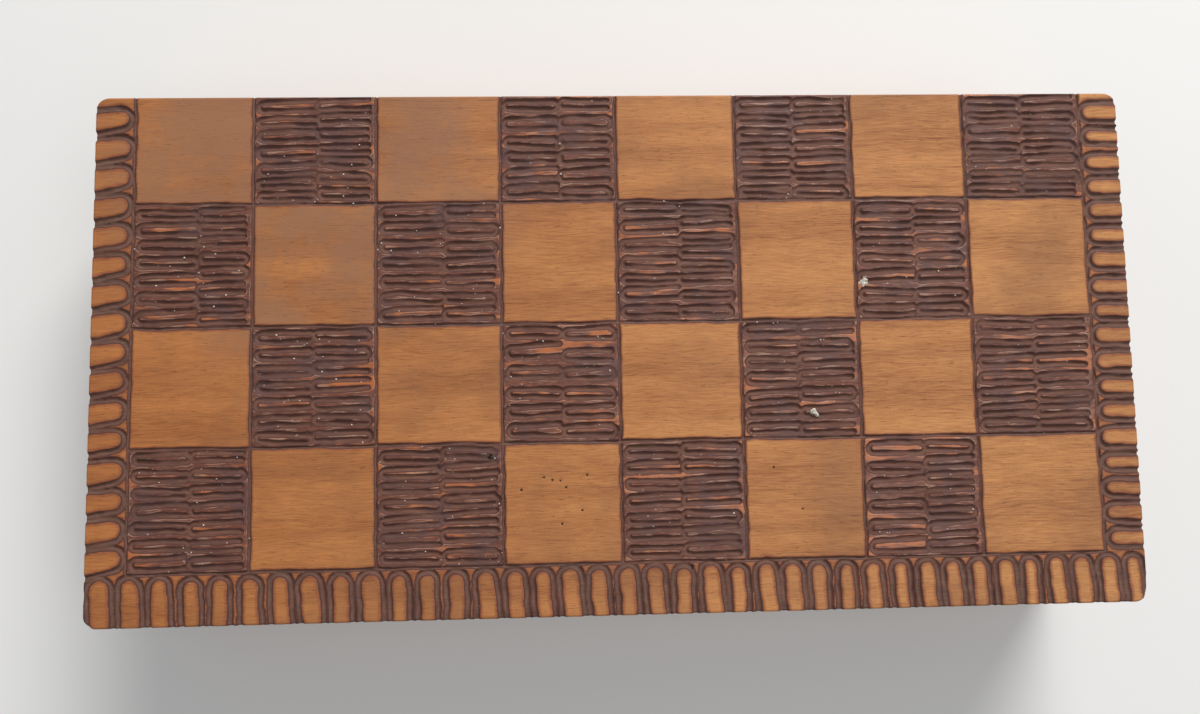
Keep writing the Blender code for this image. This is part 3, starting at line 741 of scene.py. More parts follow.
def piece(name, mesh, body, *stands_for, material=None, slot=None):
    """A finished piece at the origin that rides on a body and stands for CAD nodes."""
    made = bpy.data.objects.new(name, mesh)
    bpy.context.scene.collection.objects.link(made)
    if material is not None:
        mesh.materials.clear()
        mesh.materials.append(material)
    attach(made, body)
    if stands_for:
        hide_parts(*stands_for)
    return made


def hidden_guide(name, points, edges=(), **values):
    """Points and edges that a tree reads, with a float attribute for each keyword."""
    mesh = bpy.data.meshes.new(name)
    mesh.from_pydata([(*point, 0) for point in points], edges, [])
    for label, numbers in values.items():
        layer = mesh.attributes.new(label, "FLOAT", "POINT")
        layer.data.foreach_set("value", numbers)
    made = bpy.data.objects.new(name, mesh)
    bpy.context.scene.collection.objects.link(made)
    return made


def graded(start, end, fine, coarse, margin):
    """Stations from start to end: fine near both ends and coarse between them."""
    length = end - start
    if length <= 2 * margin:
        return list(np.linspace(start, end, max(2, math.ceil(length / fine) + 1)))
    near = math.ceil(margin / fine)
    middle = math.ceil((length - 2 * margin) / coarse)
    first = np.linspace(start, start + margin, near + 1)
    centre = np.linspace(start + margin, end - margin, middle + 1)
    last = np.linspace(end - margin, end, near + 1)
    return list(first) + list(centre[1:-1]) + list(last)


def rounded_corner(x, y):
    """Moves a place near a board's square corner so that the corner comes out round."""
    u = (abs(x) - (HALF_X - CORNER_RADIUS)) / CORNER_RADIUS
    v = (abs(y) - (HALF_Y - CORNER_RADIUS)) / CORNER_RADIUS
    if u <= 0 or v <= 0:
        return x, y
    round_u = u * math.sqrt(1 - v * v / 2)
    round_v = v * math.sqrt(1 - u * u / 2)
    new_x = HALF_X - CORNER_RADIUS + CORNER_RADIUS * round_u
    new_y = HALF_Y - CORNER_RADIUS + CORNER_RADIUS * round_v
    return math.copysign(new_x, x), math.copysign(new_y, y)


def sheets_mesh(name, sheets):
    """Flat grids side by side in one mesh, each given by its X and Y stations and how dark its stain is."""
    points = []
    faces = []
    stained = []
    for xs, ys, stain in sheets:
        first = len(points)
        points += [(*rounded_corner(x, y), 0) for y in ys for x in xs]
        stained += [stain] * (len(points) - first)
        wide = len(xs)
        for row in range(len(ys) - 1):
            for column in range(wide - 1):
                corner = first + row * wide + column
                faces.append((corner, corner + 1, corner + wide + 1, corner + wide))
    mesh = bpy.data.meshes.new(name)
    mesh.from_pydata(points, [], faces)
    mesh.attributes.new("stained", "FLOAT", "POINT").data.foreach_set("value", stained)
    return mesh


def closed_below(mesh, depth):
    """Gives each sheet walls down to a flat underside."""
    form = bmesh.new()
    form.from_mesh(mesh)
    rim = [edge for edge in form.edges if edge.is_boundary]
    stroke = form.verts.layers.float.get("stroke")
    stained = form.verts.layers.float.get("stained")
    walls = bmesh.ops.extrude_edge_only(form, edges=rim)["geom"]
    for item in walls:
        if isinstance(item, bmesh.types.BMVert):
            item.co.z = -depth
            item[stroke] = CLEAN
            item[stained] = 0
    loose = [edge for edge in form.edges if edge.is_boundary]
    bmesh.ops.holes_fill(form, edges=loose, sides=0)
    bmesh.ops.recalc_face_normals(form, faces=form.faces)
    form.to_mesh(mesh)
    form.free()
    mesh.shade_smooth()
    mesh.set_sharp_from_angle(angle=math.radians(62))
    return mesh


def cut_end_faces(mesh, axis):
    """Marks the faces that cut across the grain."""
    normals = np.empty(len(mesh.polygons) * 3)
    mesh.polygons.foreach_get("normal", normals)
    across = np.abs(normals.reshape(-1, 3)[:, axis]) > 0.75
    layer = mesh.attributes.new("end_grain", "FLOAT", "FACE")
    layer.data.foreach_set("value", across.astype(float))


# ---------------------------------------------------------------- boards

LOOPS = burned_loops_tree()
CARVE = carve_tree(LOOPS)


def square_loops():
    """Marks for the dark squares: two columns of long loops lying side by side, no two alike."""
    luck = random.Random(17)
    marks = []
    for row in range(len(ROW_DEPTHS)):
        for column in range(len(COLUMN_WIDTHS)):
            if (row + column) % 2 == 0:
                continue
            left, right = COLUMN_LINES[column] + 0.5 * MM, COLUMN_LINES[column + 1] - 0.6 * MM
            far, near = ROW_LINES[row] - 0.3 * MM, ROW_LINES[row + 1] + 0.3 * MM
            middle = (left + right) / 2 + luck.uniform(-0.8, 0.8) * MM
            count = round((far - near) / LOOP_PITCH)
            for start, end in ((left, middle + 0.3 * MM), (middle, right - 0.9 * MM)):
                loops = count + luck.choice((-1, 0, 0, 0))
                shares = [luck.uniform(0.85, 1.15) for _ in range(loops)]
                y = far
                for share in shares:
                    pitch = (far - near) * share / sum(shares)
                    gape = pitch * luck.uniform(0.46, 0.54)
                    head = start + STROKE_WIDTH / 2 + gape / 2
                    reach = end - head - 0.5 * MM
                    marks.append((head, y - pitch / 2, gape, reach, 0.0, luck.uniform(-0.02, 0.04)))
                    y -= pitch
    return marks


def graded_places(start, end, pitches):
    """Middles and widths of steps that fill a stretch and go from one pitch to another."""
    count = round((end - start) / (sum(pitches) / 2))
    widths = np.linspace(pitches[0], pitches[1], count)
    widths *= (end - start) / widths.sum()
    stops = start + np.cumsum(widths)
    return [(stop - width / 2, width) for stop, width in zip(stops.tolist(), widths.tolist())]


def border_arches():
    """Marks for the arches of the three borders, open at the board's edge."""
    marks = []
    overrun = 2 * MM
    ridge = 0.05 * MM
    near_line = ROW_LINES[-1]
    for middle, width in graded_places(-HALF_X, HALF_X, ARCH_PITCHES_NEAR):
        gape = width - STROKE_WIDTH - ridge
        head = near_line - 0.5 * MM - gape / 2
        marks.append((middle, head, gape, head + HALF_Y + overrun, -math.pi / 2 + 0.06, 0.0))
    for line, turn, splay, pitches in (
        (COLUMN_LINES[0], math.pi + 0.07, 0.13, ARCH_PITCHES_LEFT),
        (COLUMN_LINES[-1], 0.0, 0.0, ARCH_PITCHES_RIGHT),
    ):
        for middle, width in graded_places(near_line, HALF_Y - 1.6 * MM, pitches):
            gape = width - STROKE_WIDTH - ridge
            head = line + math.copysign(0.45 * MM + gape / 2, line)
            marks.append((head, middle, gape, HALF_X - abs(head) + overrun, turn, splay))
    return marks


def ruled_lines():
    """The straight burned lines between the squares."""
    points = []
    for x in COLUMN_LINES:
        points += [(x, HALF_Y + 2 * MM), (x, ROW_LINES[-1])]
    for y in ROW_LINES[1:]:
        points += [(COLUMN_LINES[0], y), (COLUMN_LINES[-1], y)]
    return points, [(i, i + 1) for i in range(0, len(points), 2)]


def marks_guide(name, marks):
    x, y, gape, reach, turn, splay = zip(*marks)
    return hidden_guide(name, list(zip(x, y)), gape=gape, reach=reach, turn=turn, splay=splay)


SPOTTED_SQUARES = ((3, 3), (3, 5))


def square_sheets(rows):
    """Grids for some rows of squares: fine where loops or worm holes are and coarse where nothing is."""
    sheets = []
    for row in rows:
        near, far = ROW_LINES[row + 1], ROW_LINES[row]
        for column in range(len(COLUMN_WIDTHS)):
            left, right = COLUMN_LINES[column], COLUMN_LINES[column + 1]
            if (row, column) in SPOTTED_SQUARES:
                xs = graded(left, right, 0.28 * MM, 0.28 * MM, 1 * MM)
                ys = graded(near, far, 0.28 * MM, 0.28 * MM, 1 * MM)
            elif (row + column) % 2:
                middle = (left + right) / 2
                xs = graded(left, middle, 0.3 * MM, 0.9 * MM, 3 * MM)
                xs += graded(middle, right, 0.3 * MM, 0.9 * MM, 3 * MM)[1:]
                ys = graded(near, far, 0.21 * MM, 0.21 * MM, 1 * MM)
            else:
                xs = graded(left, right, 0.2 * MM, 1.4 * MM, 1.6 * MM)
                ys = graded(near, far, 0.2 * MM, 1.4 * MM, 1.6 * MM)
            sheets.append((xs, ys, (row + column) % 2))
    return sheets


def board_sheets():
    """All of a board face's pieces: {name: (sheets, direction in which grooves bite its edge)}."""
    near_line = ROW_LINES[-1]
    side_ys = graded(near_line, HALF_Y, 0.3 * MM, 0.3 * MM, 1 * MM)
    left_xs = graded(-HALF_X, COLUMN_LINES[0], 0.2 * MM, 0.35 * MM, 1.2 * MM)
    right_xs = graded(COLUMN_LINES[-1], HALF_X, 0.2 * MM, 0.35 * MM, 1.2 * MM)
    near_xs = graded(-HALF_X, HALF_X, 0.3 * MM, 0.3 * MM, 1 * MM)
    near_ys = graded(-HALF_Y, near_line, 0.25 * MM, 0.5 * MM, 1.5 * MM)
    bite = 0.05 * MM
    return {
        "far_squares": (square_sheets((0, 1)), (0, 0, 0)),
        "near_squares": (square_sheets((2, 3)), (0, 0, 0)),
        "left_border": ([(left_xs, side_ys, 0)], (bite, 0, 0)),
        "right_border": ([(right_xs, side_ys, 0)], (-bite, 0, 0)),
        "near_border": ([(near_xs, near_ys, 0)], (0, bite, 0)),
    }


def make_board_face(half, body, lay, material, seed, pits):
    """The carved outer layer of one half's panel."""
    marks = marks_guide("loop_marks", square_loops() + border_arches())
    lines = hidden_guide("lines", *ruled_lines())
    holes = hidden_guide("pits", pits)
    for label, (sheets, nibble) in board_sheets().items():
        name = f"{half}_{label}"
        values = {
            "Loop Marks": marks,
            "Lines": lines,
            "Pits": holes,
            "Nibble": nibble,
            "Seed": seed,
            "Material": material,
        }
        mesh = closed_below(grown(sheets_mesh(name, sheets), CARVE, values), CARVED_LAYER)
        mesh.transform(lay)
        piece(name, mesh, body, slot="board_wood")
    for guide in (marks, lines, holes):
        bpy.data.objects.remove(guide, do_unlink=True)


def places(*pairs):
    return [(x * MM, y * MM) for x, y in pairs]


def pit_cluster(x, y, count, spread):
    """Pits that run together around one place, in a spiral."""
    pits = []
    for number in range(count):
        reach = spread * math.sqrt(number / count)
        angle = number * GOLDEN_ANGLE
        pits.append((x + reach * math.cos(angle), y + reach * math.sin(angle)))
    return pits


def worm_holes(row, column, count, seed):
    """Pits scattered over one light square, clear of its edges."""
    luck = random.Random(seed)
    margin = 4 * MM
    left, right = COLUMN_LINES[column] + margin, COLUMN_LINES[column + 1] - margin
    near, far = ROW_LINES[row + 1] + margin, ROW_LINES[row] - margin
    return [(luck.uniform(left, right), luck.uniform(near, far)) for _ in range(count)]


GOLDEN_ANGLE = math.radians(137.5)
KNOT_INSET = 3 * MM
KNOT_HOLE = pit_cluster(COLUMN_LINES[3] - KNOT_INSET, ROW_LINES[3] - KNOT_INSET, 7, 0.7 * MM)
# A small cluster of pits by the near border; like every pit it is painted near black as painted shade.
PIT_SPOT_NEAR_BORDER = pit_cluster(HALF_X / 8, ROW_LINES[-1] - 1 * MM, 3, 0.5 * MM)
TOP_PITS = KNOT_HOLE + PIT_SPOT_NEAR_BORDER + worm_holes(3, 3, 8, 6) + worm_holes(3, 5, 2, 9)
BOTTOM_PITS = places((40.0, 12.0), (40.6, 12.4), (-66.0, -8.3))
TURNED_OVER = Matrix.Rotation(math.pi, 4, "Y")
make_board_face("upper", "upper_tray", Matrix.Translation((0, 0, TOP_Z)), TOP_WOOD, 3, TOP_PITS)
make_board_face("lower", "lower_tray", TURNED_OVER, BOTTOM_WOOD, 8, BOTTOM_PITS)

# ---------------------------------------------------------------- crumbs


CRUMB_COUNT = 190
CLUSTER_COUNT = 26
CLUSTER_PLACE = (57, 15)
WAX_PLACE = (44, -15)
WAX_SIZES = (0.75, 0.5, 0.45)
WAX_STEP = 0.4


def crumbs_tree():
    """Small rough crumbs on the points of a guide, each as large as its point's size says."""
    tree, given, out = new_tree(
        "crumbs",
        "GeometryNodeTree",
        {
            "Geometry": ("Geometry", None),
            "Seed": ("Int", 2),
            "Material": ("Material", None),
        },
        {"Geometry": ("Geometry", None)},
    )
    lump = node(tree, "GeometryNodeMeshIcoSphere", {"Radius": 1.0, "Subdivisions": 2}).outputs[0]
    rough = noise(tree, node(tree, "GeometryNodeInputPosition").outputs[0], 1.3, 2.0)[1]
    dent = along(tree, "SCALE", along(tree, "SUBTRACT", rough, (0.5, 0.5, 0.5)), 1.3)
    lump = node(tree, "GeometryNodeSetPosition", {"Geometry": lump, "Offset": dent}).outputs[0]
    turn = chance(tree, (0, 0, 0), (math.tau, math.tau, math.tau), given["Seed"], "FLOAT_VECTOR")
    turn = node(tree, "FunctionNodeEulerToRotation", {0: turn}).outputs[0]
    feeds = {"Points": given["Geometry"], "Instance": lump, "Rotation": turn, "Scale": named(tree, "size")}
    scattered = node(tree, "GeometryNodeInstanceOnPoints", feeds)
    real = node(tree, "GeometryNodeRealizeInstances", {"Geometry": scattered.outputs[0]})
    dressed = node(tree, "GeometryNodeSetMaterial", {"Geometry": real.outputs[0], "Material": given["Material"]})
    tree.links.new(dressed.outputs[0], out["Geometry"])
    return tree


def make_crumbs():
    """Chalky crumbs caught in the strokes of the dark squares, most of them towards the left."""
    luck = random.Random(23)
    lumps = []
    while len(lumps) < CRUMB_COUNT:
        column = luck.randrange(len(COLUMN_WIDTHS))
        row = luck.randrange(len(ROW_DEPTHS))
        if (row + column) % 2 == 0 or luck.random() < 0.13 * column:
            continue
        x = luck.uniform(COLUMN_LINES[column], COLUMN_LINES[column + 1])
        y = luck.uniform(ROW_LINES[row + 1], ROW_LINES[row])
        lumps.append((x, y, luck.uniform(0.07, 0.22) * MM))
    for _ in range(CLUSTER_COUNT):
        x, y = (luck.gauss(middle, 0.5) for middle in CLUSTER_PLACE)
        lumps.append((x * MM, y * MM, luck.uniform(0.15, 0.42) * MM))
    for number, size in enumerate(WAX_SIZES):
        x, y = WAX_PLACE[0] + number * WAX_STEP, WAX_PLACE[1] - number * WAX_STEP
        lumps.append((x * MM, y * MM, size * MM))
    spots = [(x, y) for x, y, size in lumps]
    guide = hidden_guide("crumb_spots", spots, size=[size for x, y, size in lumps])
    made = grown(guide.data, crumbs_tree(), {"Material": CHALK})
    made.transform(Matrix.Translation((0, 0, TOP_Z - 0.2 * MM)))
    bpy.data.objects.remove(guide, do_unlink=True)
    piece("chalk_crumbs", made, "upper_tray", slot="board_wood")


make_crumbs()

# ---------------------------------------------------------------- panel cores and tray floors

RAIL_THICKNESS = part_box("lower_left_rail")[1][0] + HALF_X
INNER_X = HALF_X - RAIL_THICKNESS
INNER_Y = HALF_Y - RAIL_THICKNESS
HALF_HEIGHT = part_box("lower_left_rail")[1][2]
RAIL_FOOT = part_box("lower_left_rail")[0][2]
POINTS_PER_END = 6
POINT_LENGTH = 88 * MM
MIDDLE_BAND = 22 * MM


def prism(name, outline, low, high):
    """An (x, y) outline swept up from one height to another."""
    form = bmesh.new()
    base = form.faces.new([form.verts.new((x, y, low)) for x, y in outline])
    swept = bmesh.ops.extrude_face_region(form, geom=[base])["geom"]
    moved = [item for item in swept if isinstance(item, bmesh.types.BMVert)]
    bmesh.ops.translate(form, verts=moved, vec=(0, 0, high - low))
    bmesh.ops.recalc_face_normals(form, faces=form.faces)
    mesh = bpy.data.meshes.new(name)
    form.to_mesh(mesh)
    form.free()
    return mesh


def rectangle(x, y):
    return [(x, y), (-x, y), (-x, -y), (x, -y)]


def rounded_outline():
    steps = 6
    centre_x = HALF_X - CORNER_RADIUS
    centre_y = HALF_Y - CORNER_RADIUS
    points = []
    for quarter, (side_x, side_y) in enumerate(((1, 1), (-1, 1), (-1, -1), (1, -1))):
        for step in range(steps + 1):
            angle = (quarter + step / steps) * math.pi / 2
            x = side_x * centre_x + CORNER_RADIUS * math.cos(angle)
            y = side_y * centre_y + CORNER_RADIUS * math.sin(angle)
            points.append((x, y))
    return points


def cut_away(mesh, tool):
    """A mesh with another one cut out of it."""
    body = bpy.data.objects.new("work", mesh)
    cutter = bpy.data.objects.new("tool", tool)
    for thing in (body, cutter):
        bpy.context.scene.collection.objects.link(thing)
    step = body.modifiers.new("cut", "BOOLEAN")
    step.solver = "EXACT"
    step.object = cutter
    made = baked_mesh(body)
    for thing in (body, cutter):
        bpy.data.objects.remove(thing, do_unlink=True)
    return made


def make_panel_core(half, body, lay, material):
    """The panel behind its carved layer, with a shallow bed for the tray's floor."""
    core = prism(f"{half}_panel_core", rounded_outline(), -PANEL_THICKNESS, -CARVED_LAYER)
    bed = prism("bed", rectangle(INNER_X, INNER_Y), -2 * PANEL_THICKNESS, FLOOR_LAYER - PANEL_THICKNESS)
    mesh = cut_away(core, bed)
    cut_end_faces(mesh, 0)
    mesh.transform(lay)
    piece(f"{half}_panel_core", mesh, body, f"{half}_panel", material=material, slot="board_wood")


def point_lines():
    """Burned lines of a tray floor: outlines of its points, rays that fill every other one, and a band."""
    points = []
    width = 2 * INNER_Y / POINTS_PER_END
    base = INNER_X - 1.2 * MM
    for end in (-1, 1):
        for number in range(POINTS_PER_END):
            near = -INNER_Y + number * width + 0.9 * MM
            tip = (end * (base - POINT_LENGTH), near + width / 2 - 0.9 * MM)
            filled = (number + (end > 0)) % 2
            rays = 7 if filled else 1
            for ray in range(rays + 1):
                foot = near + (width - 1.8 * MM) * ray / rays
                points += [(end * base, foot), tip]
        points += [(end * base, -INNER_Y), (end * base, INNER_Y)]
        points += [(end * MIDDLE_BAND, -INNER_Y), (end * MIDDLE_BAND, INNER_Y)]
    return points, [(i, i + 1) for i in range(0, len(points), 2)]


def make_tray_floor(half, body, lay, seed):
    """The inside of a panel, burned with the twelve points of its half of the table."""
    base = INNER_X - 1.2 * MM
    tip = base - POINT_LENGTH
    stops = (-INNER_X, -base, -tip, -MIDDLE_BAND, MIDDLE_BAND, tip, base, INNER_X)
    stops = sorted(stops)
    xs = [stops[0]]
    for start, end in zip(stops, stops[1:]):
        xs += graded(start, end, 0.3 * MM, 1.3 * MM, 0.9 * MM)[1:]
    ys = graded(-INNER_Y, INNER_Y, 0.36 * MM, 0.36 * MM, 1 * MM)
    name = f"{half}_tray_floor"
    lines = hidden_guide("lines", *point_lines())
    band_loops = marks_guide("loop_marks", middle_band_loops())
    holes = hidden_guide("pits", places((-34.0, 21.0), (71.0, -33.0)))
    values = {
        "Loop Marks": band_loops,
        "Lines": lines,
        "Pits": holes,
        "Stroke Width": 1.1 * MM,
        "Line Width": 1.0 * MM,
        "Depth": 0.3 * MM,
        "Wobble": 0.25 * MM,
        "Closed Share": 1.0,
        "Half Size": (2 * HALF_X, 2 * HALF_Y, 0),
        "Seed": seed,
        "Material": INNER_WOOD,
    }
    mesh = closed_below(grown(sheets_mesh(name, [(xs, ys, 0)]), CARVE, values), FLOOR_LAYER)
    for guide in (lines, band_loops, holes):
        bpy.data.objects.remove(guide, do_unlink=True)
    mesh.transform(lay)
    piece(name, mesh, body, slot="board_wood")


def middle_band_loops():
    """Long closed loops along the two sides of a tray floor's middle band."""
    marks = []
    gape = 2.4 * MM
    count = 9
    pitch = 2 * INNER_Y / count
    for end in (-1, 1):
        for number in range(count):
            foot = -INNER_Y + (number + 0.5) * pitch
            start = foot - pitch * 0.28
            marks.append((end * (MIDDLE_BAND - 3.2 * MM), start, gape, pitch * 0.56, math.pi / 2, 0.0))
    return marks


UPPER_FACE = Matrix.Translation((0, 0, TOP_Z))
INSIDE_LOWER = Matrix.Translation((0, 0, PANEL_THICKNESS))
INSIDE_UPPER = Matrix.Translation((0, 0, TOP_Z - PANEL_THICKNESS)) @ Matrix.Rotation(math.pi, 4, "X")
make_panel_core("upper", "upper_tray", UPPER_FACE, PANEL_SIDE_WOOD)
make_panel_core("lower", "lower_tray", TURNED_OVER, PANEL_SIDE_WOOD)
make_tray_floor("lower", "lower_tray", INSIDE_LOWER, 21)
make_tray_floor("upper", "upper_tray", INSIDE_UPPER, 34)

# ---------------------------------------------------------------- rails


def merged_copy(name, flat_angle=1.0):
    """A copy of a frame part's mesh with its loose triangles joined into whole faces."""
    form = bmesh.new()
    form.from_mesh(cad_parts[name].data)
    bmesh.ops.remove_doubles(form, verts=form.verts, dist=1e-6)
    turn = math.radians(flat_angle)
    bmesh.ops.dissolve_limit(form, angle_limit=turn, verts=form.verts, edges=form.edges)
    mesh = bpy.data.meshes.new(f"{name}_copy")
    form.to_mesh(mesh)
    form.free()
    return mesh


def eased(mesh, width, segments=2, from_angle=35):
    """A mesh with its sharp edges rubbed round."""
    work = bpy.data.objects.new("work", mesh)
    bpy.context.scene.collection.objects.link(work)
    step = work.modifiers.new("ease", "BEVEL")
    step.width = width
    step.segments = segments
    step.limit_method = "ANGLE"
    step.angle_limit = math.radians(from_angle)
    made = baked_mesh(work)
    bpy.data.objects.remove(work, do_unlink=True)
    made.shade_smooth()
    made.set_sharp_from_angle(angle=math.radians(32))
    return made


def make_rails(half, body):
    for side, axis, wood in (
        ("front", 0, LONG_RAIL_WOOD),
        ("back", 0, LONG_RAIL_WOOD),
        ("left", 1, SHORT_RAIL_WOOD),
        ("right", 1, SHORT_RAIL_WOOD),
    ):
        node_name = f"{half}_{side}_rail"
        mesh = eased(merged_copy(node_name), 0.3 * MM)
        cut_end_faces(mesh, axis)
        piece(f"{node_name}_wood", mesh, body, node_name, material=wood, slot="rail_wood")


def make_glue_and_seam_shade(half, body, low, high):
    """Glue and dirt in the finger joints and under the rails, near black, partly painted shade in the seams. Low and
    high are the rails' heights.
    """
    form = bmesh.new()
    inset = 0.35 * MM
    gap = RAIL_FOOT - PANEL_THICKNESS
    foot, rim = (low - gap, high - inset) if half == "lower" else (low + inset, high + gap)
    bed_low, bed_high = (low - gap, low) if half == "lower" else (high, high + gap)
    blocks = []
    for side in (-1, 1):
        outer_y, inner_y = side * (HALF_Y - inset), side * (INNER_Y + inset)
        outer_x, inner_x = side * (HALF_X - inset), side * (INNER_X + inset)
        corner = HALF_X - CORNER_RADIUS
        blocks.append(((-corner, outer_y, bed_low), (corner, inner_y, bed_high)))
        blocks.append(((outer_x, -HALF_Y + CORNER_RADIUS, bed_low), (inner_x, HALF_Y - CORNER_RADIUS, bed_high)))
        for other in (-1, 1):
            far_x = other * (HALF_X - CORNER_RADIUS / 2)
            far_y = side * (HALF_Y - CORNER_RADIUS / 2)
            blocks.append(((far_x, far_y, foot), (other * (INNER_X + inset), side * (INNER_Y + inset), rim)))
    for first, second in blocks:
        first, second = Vector(first), Vector(second)
        size = [abs(a) for a in second - first]
        lay = Matrix.Translation((first + second) / 2) @ Matrix.Diagonal((*size, 1))
        bmesh.ops.create_cube(form, size=1, matrix=lay)
    mesh = bpy.data.meshes.new(f"{half}_glue")
    form.to_mesh(mesh)
    form.free()
    piece(f"{half}_glue", mesh, body, material=GLUE_AND_SEAM_SHADE)


make_rails("lower", "lower_tray")
make_rails("upper", "upper_tray")
make_glue_and_seam_shade("lower", "lower_tray", RAIL_FOOT, HALF_HEIGHT)
make_glue_and_seam_shade("upper", "upper_tray", TOP_Z - HALF_HEIGHT, TOP_Z - RAIL_FOOT)

# ---------------------------------------------------------------- hinges

SCREW_HEAD_RADIUS = 1.5 * MM
SCREW_SHANK_RADIUS = 0.7 * MM


def slotted_screws_tree():
    """Countersunk screws with a slot across each head, one at each mark, heads up."""
    tree, given, out = new_tree(
        "slotted_screws",
        "GeometryNodeTree",
        {
            "Geometry": ("Geometry", None),
            "Head Radius": ("Float", SCREW_HEAD_RADIUS),
            "Shank Radius": ("Float", SCREW_SHANK_RADIUS),
            "Length": ("Float", 6 * MM),
            "Slot Width": ("Float", 0.45 * MM),
            "Slot Depth": ("Float", 0.4 * MM),
            "Seed": ("Int", 5),
            "Material": ("Material", None),
        },
        {"Geometry": ("Geometry", None)},
    )
    cone = calc(tree, "SUBTRACT", given["Head Radius"], given["Shank Radius"])
    head = node(
        tree,
        "GeometryNodeMeshCone",
        {
            "Vertices": 28,
            "Radius Top": given["Head Radius"],
            "Radius Bottom": given["Shank Radius"],
            "Depth": cone,
        },
    )
    drop = node(tree, "ShaderNodeCombineXYZ", {2: calc(tree, "MULTIPLY", cone, -1.0)}).outputs[0]
    sunk = node(tree, "GeometryNodeTransform", {"Geometry": head.outputs[0], "Translation": drop})
    slot_size = node(
        tree,
        "ShaderNodeCombineXYZ",
        {
            0: calc(tree, "MULTIPLY", given["Head Radius"], 2.4),
            1: given["Slot Width"],
            2: calc(tree, "MULTIPLY", given["Slot Depth"], 2.0),
        },
    ).outputs[0]
    blade = node(tree, "GeometryNodeMeshCube", {"Size": slot_size})
    slotted = node(tree, "GeometryNodeMeshBoolean", operation="DIFFERENCE", solver="EXACT")
    tree.links.new(sunk.outputs[0], slotted.inputs[0])
    tree.links.new(blade.outputs[0], slotted.inputs[1])
    shank = node(
        tree,
        "GeometryNodeMeshCone",
        {
            "Vertices": 12,
            "Radius Top": given["Shank Radius"],
            "Radius Bottom": 0.15 * MM,
            "Depth": given["Length"],
        },
    )
    below = calc(tree, "MULTIPLY", calc(tree, "ADD", given["Length"], cone), -1.0)
    down = node(tree, "ShaderNodeCombineXYZ", {2: below}).outputs[0]
    shank_down = node(tree, "GeometryNodeTransform", {"Geometry": shank.outputs[0], "Translation": down})
    screw = node(tree, "GeometryNodeJoinGeometry")
    tree.links.new(slotted.outputs[0], screw.inputs[0])
    tree.links.new(shank_down.outputs[0], screw.inputs[0])
    spin = node(tree, "ShaderNodeCombineXYZ", {2: chance(tree, 0.0, math.pi, given["Seed"])}).outputs[0]
    turn = node(tree, "FunctionNodeEulerToRotation", {0: spin}).outputs[0]
    set_in = node(
        tree,
        "GeometryNodeInstanceOnPoints",
        {"Points": given["Geometry"], "Instance": screw.outputs[0], "Rotation": turn},
    )
    real = node(tree, "GeometryNodeRealizeInstances", {"Geometry": set_in.outputs[0]})
    dressed = node(tree, "GeometryNodeSetMaterial", {"Geometry": real.outputs[0], "Material": given["Material"]})
    tree.links.new(dressed.outputs[0], out["Geometry"])
    return tree


def make_hinge_screws(half, body, tree, seed):
    names = [f"{side}_hinge_{half}_screw_{number}" for side in ("left", "right") for number in (1, 2)]
    points = []
    for name in names:
        low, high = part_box(name)
        points.append(((low[0] + high[0]) / 2, (low[1] + high[1]) / 2, 0))
    mesh = bpy.data.meshes.new(f"{half}_hinge_screws")
    face_up = half == "lower"
    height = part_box(names[0])[1 if face_up else 0][2]
    mesh.from_pydata([(x, y if face_up else -y, 0) for x, y, _ in points], [], [])
    made = grown(mesh, tree, {"Seed": seed, "Material": CATCH_BRASS, "Length": 5.5 * MM})
    turn = Matrix.Identity(4) if face_up else Matrix.Rotation(math.pi, 4, "X")
    made.transform(Matrix.Translation((0, 0, height)) @ turn)
    made.shade_smooth()
    made.set_sharp_from_angle(angle=math.radians(35))
    piece(f"{half}_hinge_screws", made, body, *names, slot="screw_brass")


def make_hinges():
    screws = slotted_screws_tree()
    for half in ("lower", "upper"):
        make_hinge_screws(half, f"{half}_tray", screws, 11 if half == "lower" else 12)
        for side in ("left", "right"):
            name = f"{side}_hinge_{half}_leaf"
            mesh = eased(merged_copy(name), 0.09 * MM)
            piece(f"{name}_plate", mesh, f"{half}_tray", name, material=HINGE_BRASS, slot="hinge_brass")
    for side in ("left", "right"):
        name = f"{side}_hinge_pin"
        mesh = eased(merged_copy(name), 0.12 * MM, from_angle=50)
        piece(f"{name}_rod", mesh, "lower_tray", name, material=HINGE_BRASS, slot="hinge_brass")


make_hinges()

# ---------------------------------------------------------------- catch

HOOK_WIRE_RADIUS = 0.6 * MM
HOOK_RING_RADIUS = 1.8 * MM
HOOK_LENGTH = 19 * MM
HOOK_TAIL = 2.8 * MM


